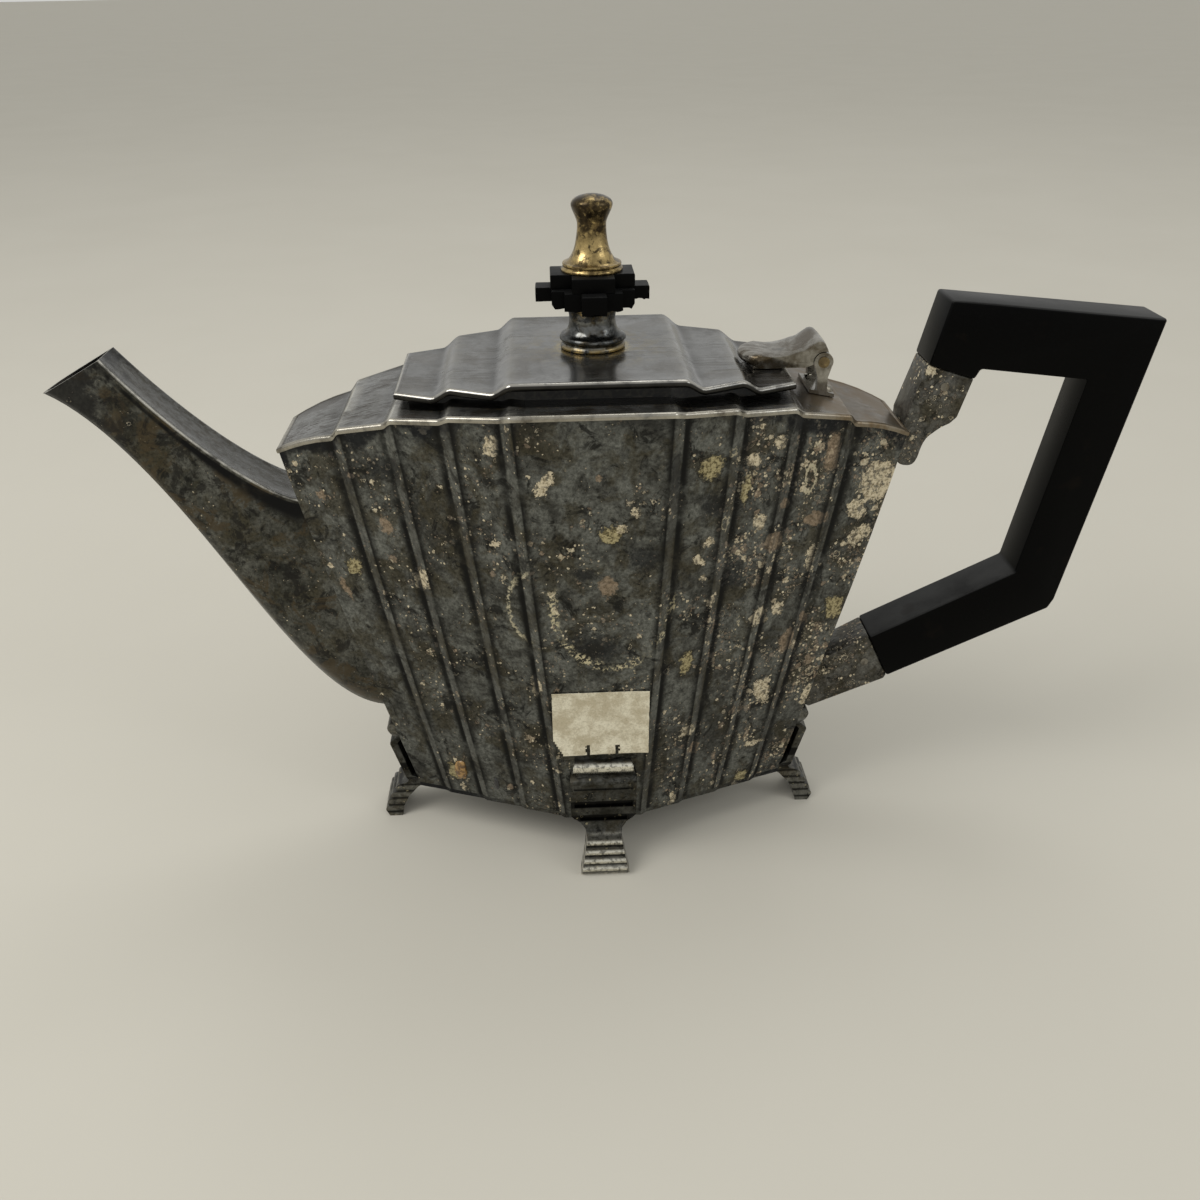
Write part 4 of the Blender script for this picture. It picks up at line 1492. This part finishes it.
def make_foot_finish():
    finish, tree, shader, place = new_finish("bright_and_black_feet", 0.9)
    z = axes(tree, place)[2]
    film = use(tree, TARNISH, {"Place": place, "Size": 7.0, "Light": (0.12, 0.12, 0.11),
                               "Dark": (0.035, 0.034, 0.028),
                               "Brown": (0.045, 0.035, 0.018), "Black": (0.006, 0.006, 0.006),
                               "Stains": 0.6, "Blots": 0.9,
                               "Grain": 0.4})
    worn = remap(tree, cloud(tree, place, 1.1, 5.0, 0.75, 3.0), 0.4, 0.54, 0.25, 1.0)
    on_roll = times(tree, remap(tree, z, ROLL_Z - 2.2, ROLL_Z - 1.2),
                    remap(tree, z, ROLL_Z + 1.9, ROLL_Z + 1.3))
    on_toe = remap(tree, z, TOE_TOP_Z, TOE_TOP_Z - 1.0)
    reed = calc(tree, "COSINE", times(tree, calc(tree, "SUBTRACT", z, REED_AT_Z), 2 * math.pi / REED_PITCH))
    reeds = times(tree, on_toe, remap(tree, reed, -0.7, 0.5, 0.1, 0.8))
    handled = remap(tree, calc(tree, "ABSOLUTE", axes(tree, place)[1]), DULL_Y, POLISHED_Y, 0.12, 1.0)
    bright = times(tree, calc(tree, "MAXIMUM", on_roll, reeds), times(tree, worn, handled))
    in_recess = times(tree, remap(tree, z, RECESS_LOW_Z - 1.2, RECESS_LOW_Z),
                      remap(tree, z, RECESS_TOP_Z + 0.8, RECESS_TOP_Z))
    steps = None
    for top, bottom, _ in STEPS[1:]:
        here = times(tree, remap(tree, z, bottom - 0.5, bottom), remap(tree, z, top + 0.4, top - 0.2))
        steps = here if steps is None else calc(tree, "MAXIMUM", steps, here)
    colour = tint(tree, times(tree, in_recess, 0.35), film["Color"], (0.02, 0.02, 0.015))
    colour = tint(tree, times(tree, steps, 0.9), colour, (0.004, 0.004, 0.004))
    gaps = times(tree, on_toe, remap(tree, reed, -0.55, -0.9))
    colour = tint(tree, times(tree, gaps, 0.9), colour, (0.008, 0.008, 0.007))
    crumbs = use(tree, FLAKES, {"Place": place, "Size": 1.3, "Amount": 0.4, "Ragged": 0.4, "Seed": 13.0})
    colour = tint(tree, times(tree, crumbs["Flake"], 0.6), colour, (0.4, 0.35, 0.22))
    colour = tint(tree, bright, colour, (0.78, 0.75, 0.64))
    tree.links.new(colour, shader.inputs["Base Color"])
    tree.links.new(remap(tree, bright, 0.0, 0.8, 0.36, 0.16, "LINEAR"), shader.inputs["Roughness"])
    bump(tree, shader, calc(tree, "MULTIPLY_ADD", film["Fine"], 0.4, film["Patch"]), 0.06, 0.8)
    return finish

FOOT_FINISH = make_foot_finish()
print(FOOT_FINISH.name, "-", len(FOOT_FINISH.node_tree.nodes), "nodes")

# %% [markdown]
# The resin of the handle is black all through. Faces that look up have gone slightly grey
# with dust and age, which the shader finds by their normal, and fine scratches run along it.

# %% Finish: black resin
def make_resin_finish(name, dust_share):
    finish, tree, shader, place = new_finish(name, 0.0, Specular_IOR_Level=0.06)
    bloom = cloud(tree, place, 22.0, 5.0, 0.6, 2.0)
    fine = cloud(tree, place, 0.9, 4.0, 0.65, 5.0)
    scratch = use(tree, STREAKS, {"Place": place, "Width": 0.25, "Length": 9.0, "Seed": 2.0})
    up = axes(tree, add(tree, "ShaderNodeNewGeometry").outputs["True Normal"])[2]
    dust = times(tree, remap(tree, up, 0.2, 1.0), remap(tree, bloom, 0.3, 0.65, 0.35, 1.0))
    colour = tint(tree, times(tree, remap(tree, fine, 0.5, 0.75), 0.25), (0.0008, 0.0008, 0.0008),
                  (0.004, 0.004, 0.0038))
    colour = tint(tree, times(tree, dust, dust_share), colour, (0.055, 0.055, 0.054))
    brown = times(tree, remap(tree, cloud(tree, place, 8.0, 3.0, 0.5, 8.0), 0.62, 0.75), 0.3)
    tree.links.new(tint(tree, brown, colour, (0.008, 0.005, 0.003)), shader.inputs["Base Color"])
    rough = calc(tree, "ADD", remap(tree, bloom, 0.35, 0.65, 0.26, 0.38, "LINEAR"), times(tree, dust, 0.12))
    tree.links.new(rough, shader.inputs["Roughness"])
    bump(tree, shader, calc(tree, "ADD", scratch["Fine"], times(tree, fine, 0.6)), 0.014, 0.5)
    return finish

RESIN_FINISH = make_resin_finish("black_resin", 0.75)
TIER_FINISH = make_resin_finish("black_tiers", 0.12)
print("resin finishes:", RESIN_FINISH.name, "and", TIER_FINISH.name)

# %% [markdown]
# Brass keeps a warm shine in some places and darkens to brown in others, and the finial is
# sooty towards its top. The knob's foot is plated over brass, so gold shows at its base
# and a little at its neck, with dark plate between.

# %% Finish: worn brass and knob foot
def make_brass_finish(name, light, dark, darkness, sooty_from=0.0):
    finish, tree, shader, place = new_finish(name, 0.95)
    film = use(tree, TARNISH, {"Place": place, "Size": 5.0, "Light": light,
                               "Dark": tuple((a + b) / 2 for a, b in zip(light, dark)), "Brown": dark,
                               "Black": (0.02, 0.015, 0.01), "Stains": darkness, "Blots": darkness,
                               "Grain": 0.25})
    colour = film["Color"]
    if sooty_from:
        soot = times(tree, remap(tree, stored(tree, "height"), sooty_from, sooty_from + 5.0),
                    remap(tree, cloud(tree, place, 3.2, 5.0, 0.7, 33.0), 0.4, 0.52))
        colour = tint(tree, times(tree, soot, 0.92), colour, (0.03, 0.022, 0.013))
    tree.links.new(colour, shader.inputs["Base Color"])
    tree.links.new(remap(tree, film["Patch"], 0.4, 0.62, 0.36, 0.16, "LINEAR"), shader.inputs["Roughness"])
    bump(tree, shader, calc(tree, "ADD", film["Patch"], times(tree, film["Fine"], 0.5)), 0.05, 0.6)
    return finish

BRASS_FINISH = make_brass_finish("worn_brass", (0.5, 0.37, 0.16), (0.07, 0.048, 0.022), 0.85, 6.0)
FASTENER_FINISH = make_brass_finish("dull_brass", (0.36, 0.27, 0.13), (0.1, 0.075, 0.045), 0.5)

def make_pedestal_finish():
    finish, tree, shader, place = new_finish("plated_knob_foot", 0.95)
    height = stored(tree, "height")
    film = use(tree, TARNISH, {"Place": place, "Size": 4.0, "Light": (0.15, 0.153, 0.148),
                               "Dark": (0.028, 0.03, 0.03),
                               "Brown": (0.05, 0.04, 0.025), "Black": (0.006, 0.006, 0.006),
                               "Stains": 0.7, "Blots": 1.0,
                               "Grain": 0.2})
    gold = times(tree, remap(tree, height, 1.6, 0.2, 0.0, 0.8),
                 remap(tree, cloud(tree, place, 2.5, 4.0, 0.6, 3.0), 0.35, 0.55))
    neck = times(tree, remap(tree, height, 6.5, 9.5),
                 remap(tree, cloud(tree, place, 3.0, 4.0, 0.6, 6.0), 0.45, 0.6))
    warm = calc(tree, "MAXIMUM", gold, times(tree, neck, 0.6))
    tree.links.new(tint(tree, warm, film["Color"], (0.45, 0.34, 0.15)), shader.inputs["Base Color"])
    tree.links.new(remap(tree, film["Patch"], 0.4, 0.62, 0.32, 0.12, "LINEAR"), shader.inputs["Roughness"])
    bump(tree, shader, film["Patch"], 0.04, 0.6)
    return finish

PEDESTAL_FINISH = make_pedestal_finish()
print("turned finishes:", BRASS_FINISH.name, FASTENER_FINISH.name, PEDESTAL_FINISH.name)

# %% [markdown]
# The label's paper has yellowed unevenly, and its fibres show as a fine grain. The drip is
# dark amber lacquer, and the tar is black and wet-looking.

# %% Finish: paper, amber and tar
def make_paper_finish():
    finish, tree, shader, place = new_finish("aged_paper", 0.0, Specular_IOR_Level=0.3)
    stain = cloud(tree, place, 6.0, 7.0, 0.75, 1.0)
    fibre = cloud(tree, place, 0.5, 4.0, 0.7, 2.0)
    colour = tint(tree, remap(tree, stain, 0.4, 0.6), (0.74, 0.69, 0.54), (0.5, 0.44, 0.31))
    colour = tint(tree, times(tree, remap(tree, fibre, 0.45, 0.7), 0.5), colour, (0.34, 0.3, 0.2))
    tree.links.new(colour, shader.inputs["Base Color"])
    tree.links.new(remap(tree, fibre, 0.3, 0.7, 0.62, 0.82, "LINEAR"), shader.inputs["Roughness"])
    bump(tree, shader, calc(tree, "ADD", fibre, stain), 0.04, 0.6)
    return finish

PAPER_FINISH = make_paper_finish()

def make_drop_finish(name, light, dark, gloss):
    finish, tree, shader, place = new_finish(name, 0.0, Coat_Weight=0.7, Coat_Roughness=0.08)
    swirl = cloud(tree, place, 1.6, 4.0, 0.6, 3.0, 1.0)
    tree.links.new(tint(tree, remap(tree, swirl, 0.4, 0.62), dark, light), shader.inputs["Base Color"])
    tree.links.new(remap(tree, swirl, 0.3, 0.7, gloss, gloss + 0.15, "LINEAR"), shader.inputs["Roughness"])
    bump(tree, shader, swirl, 0.06, 0.6)
    return finish

AMBER_FINISH = make_drop_finish("amber_lacquer", (0.34, 0.19, 0.05), (0.09, 0.045, 0.014), 0.18)
TAR_FINISH = make_drop_finish("black_tar", (0.012, 0.012, 0.014), (0.004, 0.004, 0.005), 0.1)
SOLDER_FINISH = make_brass_finish("grey_solder", (0.3, 0.28, 0.23), (0.08, 0.065, 0.045), 0.5)
print("materials:", len(bpy.data.materials))

# %% [markdown]
# Now every piece gets its finish and rides on its body, and takes the place of the plain
# node that it was made from.

# %% Dress the pieces
dress(wall, "body", "silver_plate", WALL_FINISH, "body_wall")
dress(shoulder, "body", "silver_plate", SHOULDER_FINISH, "shoulder")
dress(spout, "body", "silver_plate", SPOUT_FINISH, "spout")
dress(lid, "lid", "worn_silver", LID_FINISH, "lid")
dress(leaf, "lid", "worn_silver", FITTING_FINISH, "hinge_leaf")
dress(knuckle, "lid", "worn_silver", FITTING_FINISH)
dress(solder_foot, "lid", "worn_silver", FITTING_FINISH)
dress(handle, "body", "black_resin", RESIN_FINISH, "handle")
dress(upper_socket, "body", "worn_silver", SOCKET_FINISH, "upper_socket")
dress(lower_socket, "body", "worn_silver", SOCKET_FINISH, "lower_socket")
dress(pedestal, "lid", "worn_silver", PEDESTAL_FINISH, "knob_pedestal")
dress(lower_tier, "lid", "black_resin", TIER_FINISH, "knob_tier_lower")
dress(upper_tier, "lid", "black_resin", TIER_FINISH, "knob_tier_upper")
dress(finial, "lid", "brass", BRASS_FINISH, "knob_finial")
dress(label, "body", "paper", PAPER_FINISH, "price_label")
dress(drip, "body", "silver_plate", AMBER_FINISH)
dress(tar, "body", "silver_plate", TAR_FINISH)
for node, foot in feet.items():
    dress(foot, "body", "silver_plate", FOOT_FINISH, node)
for blot in solder:
    dress(blot, "body", "worn_silver", SOLDER_FINISH)

# %% [markdown]
# The small turned and cut pieces are right as they come from the model. They keep their
# shape, get a fine bevel to catch the light, and take the finishes above. The bands in the
# throat and under the lid are darker, in the finish of the drips but sooty brown.

# %% Dress the nodes that stay
INSIDE_FINISH = make_drop_finish("sooty_inside", (0.03, 0.027, 0.02), (0.008, 0.008, 0.007), 0.4)
KEPT = {"base_plate": (WALL_FINISH, 0.3), "throat_ring": (INSIDE_FINISH, 0.1),
        "lid_flange": (INSIDE_FINISH, 0.1), "hinge_bracket": (FITTING_FINISH, 0.2),
        "hinge_pin": (FASTENER_FINISH, 0.2), "upper_handle_pin": (FITTING_FINISH, 0.15),
        "lower_handle_pin": (FITTING_FINISH, 0.15), "knob_stud": (FASTENER_FINISH, 0.2),
        "knob_washer": (FASTENER_FINISH, 0.15), "knob_nut": (FASTENER_FINISH, 0.2)}
for name, (finish, edge) in KEPT.items():
    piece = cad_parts[name]
    piece.material_slots[0].material = finish
    soften = piece.modifiers.new("bevel", "BEVEL")
    soften.width, soften.segments, soften.limit_method = edge * MM, 2, "ANGLE"
    soften.angle_limit = math.radians(40)
print("kept nodes:", len(KEPT))

# %% [markdown]
# The pot stands on a plain pale floor in soft light: one large lamp above on the left, a
# weaker one on the right, one high at the back, and a pale world, which also gives the
# metal something calm to reflect.

# %% Floor, light and camera
def make_stage():
    bpy.ops.mesh.primitive_circle_add(vertices=128, radius=14.0, fill_type="NGON")
    floor = bpy.context.object
    floor.name = "floor"
    paint, tree, shader, place = new_finish("pale_floor", 0.0, Roughness=0.9, Specular_IOR_Level=0.2)
    weave = cloud(tree, place, 90.0, 3.0, 0.5, 1.0)
    tree.links.new(tint(tree, weave, (0.5, 0.478, 0.415), (0.53, 0.508, 0.445)),
                   shader.inputs["Base Color"])
    floor.data.materials.append(paint)

def make_lamp(name, place, size, watts, tone):
    data = bpy.data.lights.new(name, "AREA")
    data.shape, data.size, data.energy, data.color = "DISK", size, watts, tone
    lamp = bpy.data.objects.new(name, data)
    lamp.location = place
    lamp.rotation_euler = (Vector((0, 0, 0.09)) - Vector(place)).to_track_quat("-Z", "Y").to_euler()
    bpy.context.collection.objects.link(lamp)

def make_world():
    world = bpy.data.worlds.new("pale_room")
    world.use_nodes = True
    tree = world.node_tree
    sky = tree.nodes["Background"]
    ray = add(tree, "ShaderNodeLightPath").outputs
    seen = calc(tree, "MAXIMUM", ray["Is Camera Ray"],
                calc(tree, "MAXIMUM", ray["Is Glossy Ray"], ray["Is Transmission Ray"]))
    sky.inputs["Color"].default_value = (0.62, 0.62, 0.605, 1)
    tree.links.new(remap(tree, seen, 0.0, 1.0, 1.15, 1.0, "LINEAR"), sky.inputs["Strength"])
    bpy.context.scene.world = world

EYE = (-14.71, -295.62, 221.82)                      # millimetres
EYE_TURN, EYE_TILT, EYE_ROLL = 2.473, 27.707, -0.72   # degrees
SENSOR_W, FOCAL_SHARE = 36, 1202 / 1200               # the focal length is given as a share of the width

def make_camera():
    """Looks along a heading, a tilt and a roll from the eye's place."""
    t, p, r = math.radians(EYE_TURN), math.radians(EYE_TILT), math.radians(EYE_ROLL)
    ahead = Vector((math.sin(t) * math.cos(p), math.cos(t) * math.cos(p), -math.sin(p)))
    level = Vector((math.cos(t), -math.sin(t), 0))
    above = level.cross(ahead)
    right = math.cos(r) * level + math.sin(r) * above
    up = -math.sin(r) * level + math.cos(r) * above
    data = bpy.data.cameras.new("camera")
    data.sensor_width, data.lens, data.clip_start = SENSOR_W, SENSOR_W * FOCAL_SHARE, 0.01
    camera = bpy.data.objects.new("camera", data)
    camera.matrix_world = Matrix((right, up, -ahead)).transposed().to_4x4()
    camera.location = Vector(EYE) * MM
    bpy.context.collection.objects.link(camera)
    bpy.context.scene.camera = camera

make_stage()
make_lamp("big_window", (-0.75, -0.35, 0.95), 0.8, 7.0, (1.0, 0.985, 0.96))
make_lamp("right_fill", (0.9, -0.5, 0.7), 0.6, 1.8, (0.96, 0.98, 1.0))
make_lamp("back_light", (0.3, 0.7, 1.5), 0.7, 3.0, (1.0, 1.0, 1.0))
make_world()
make_camera()
bpy.context.scene.view_settings.view_transform = "Standard"
print("lamps:", len(bpy.data.lights))
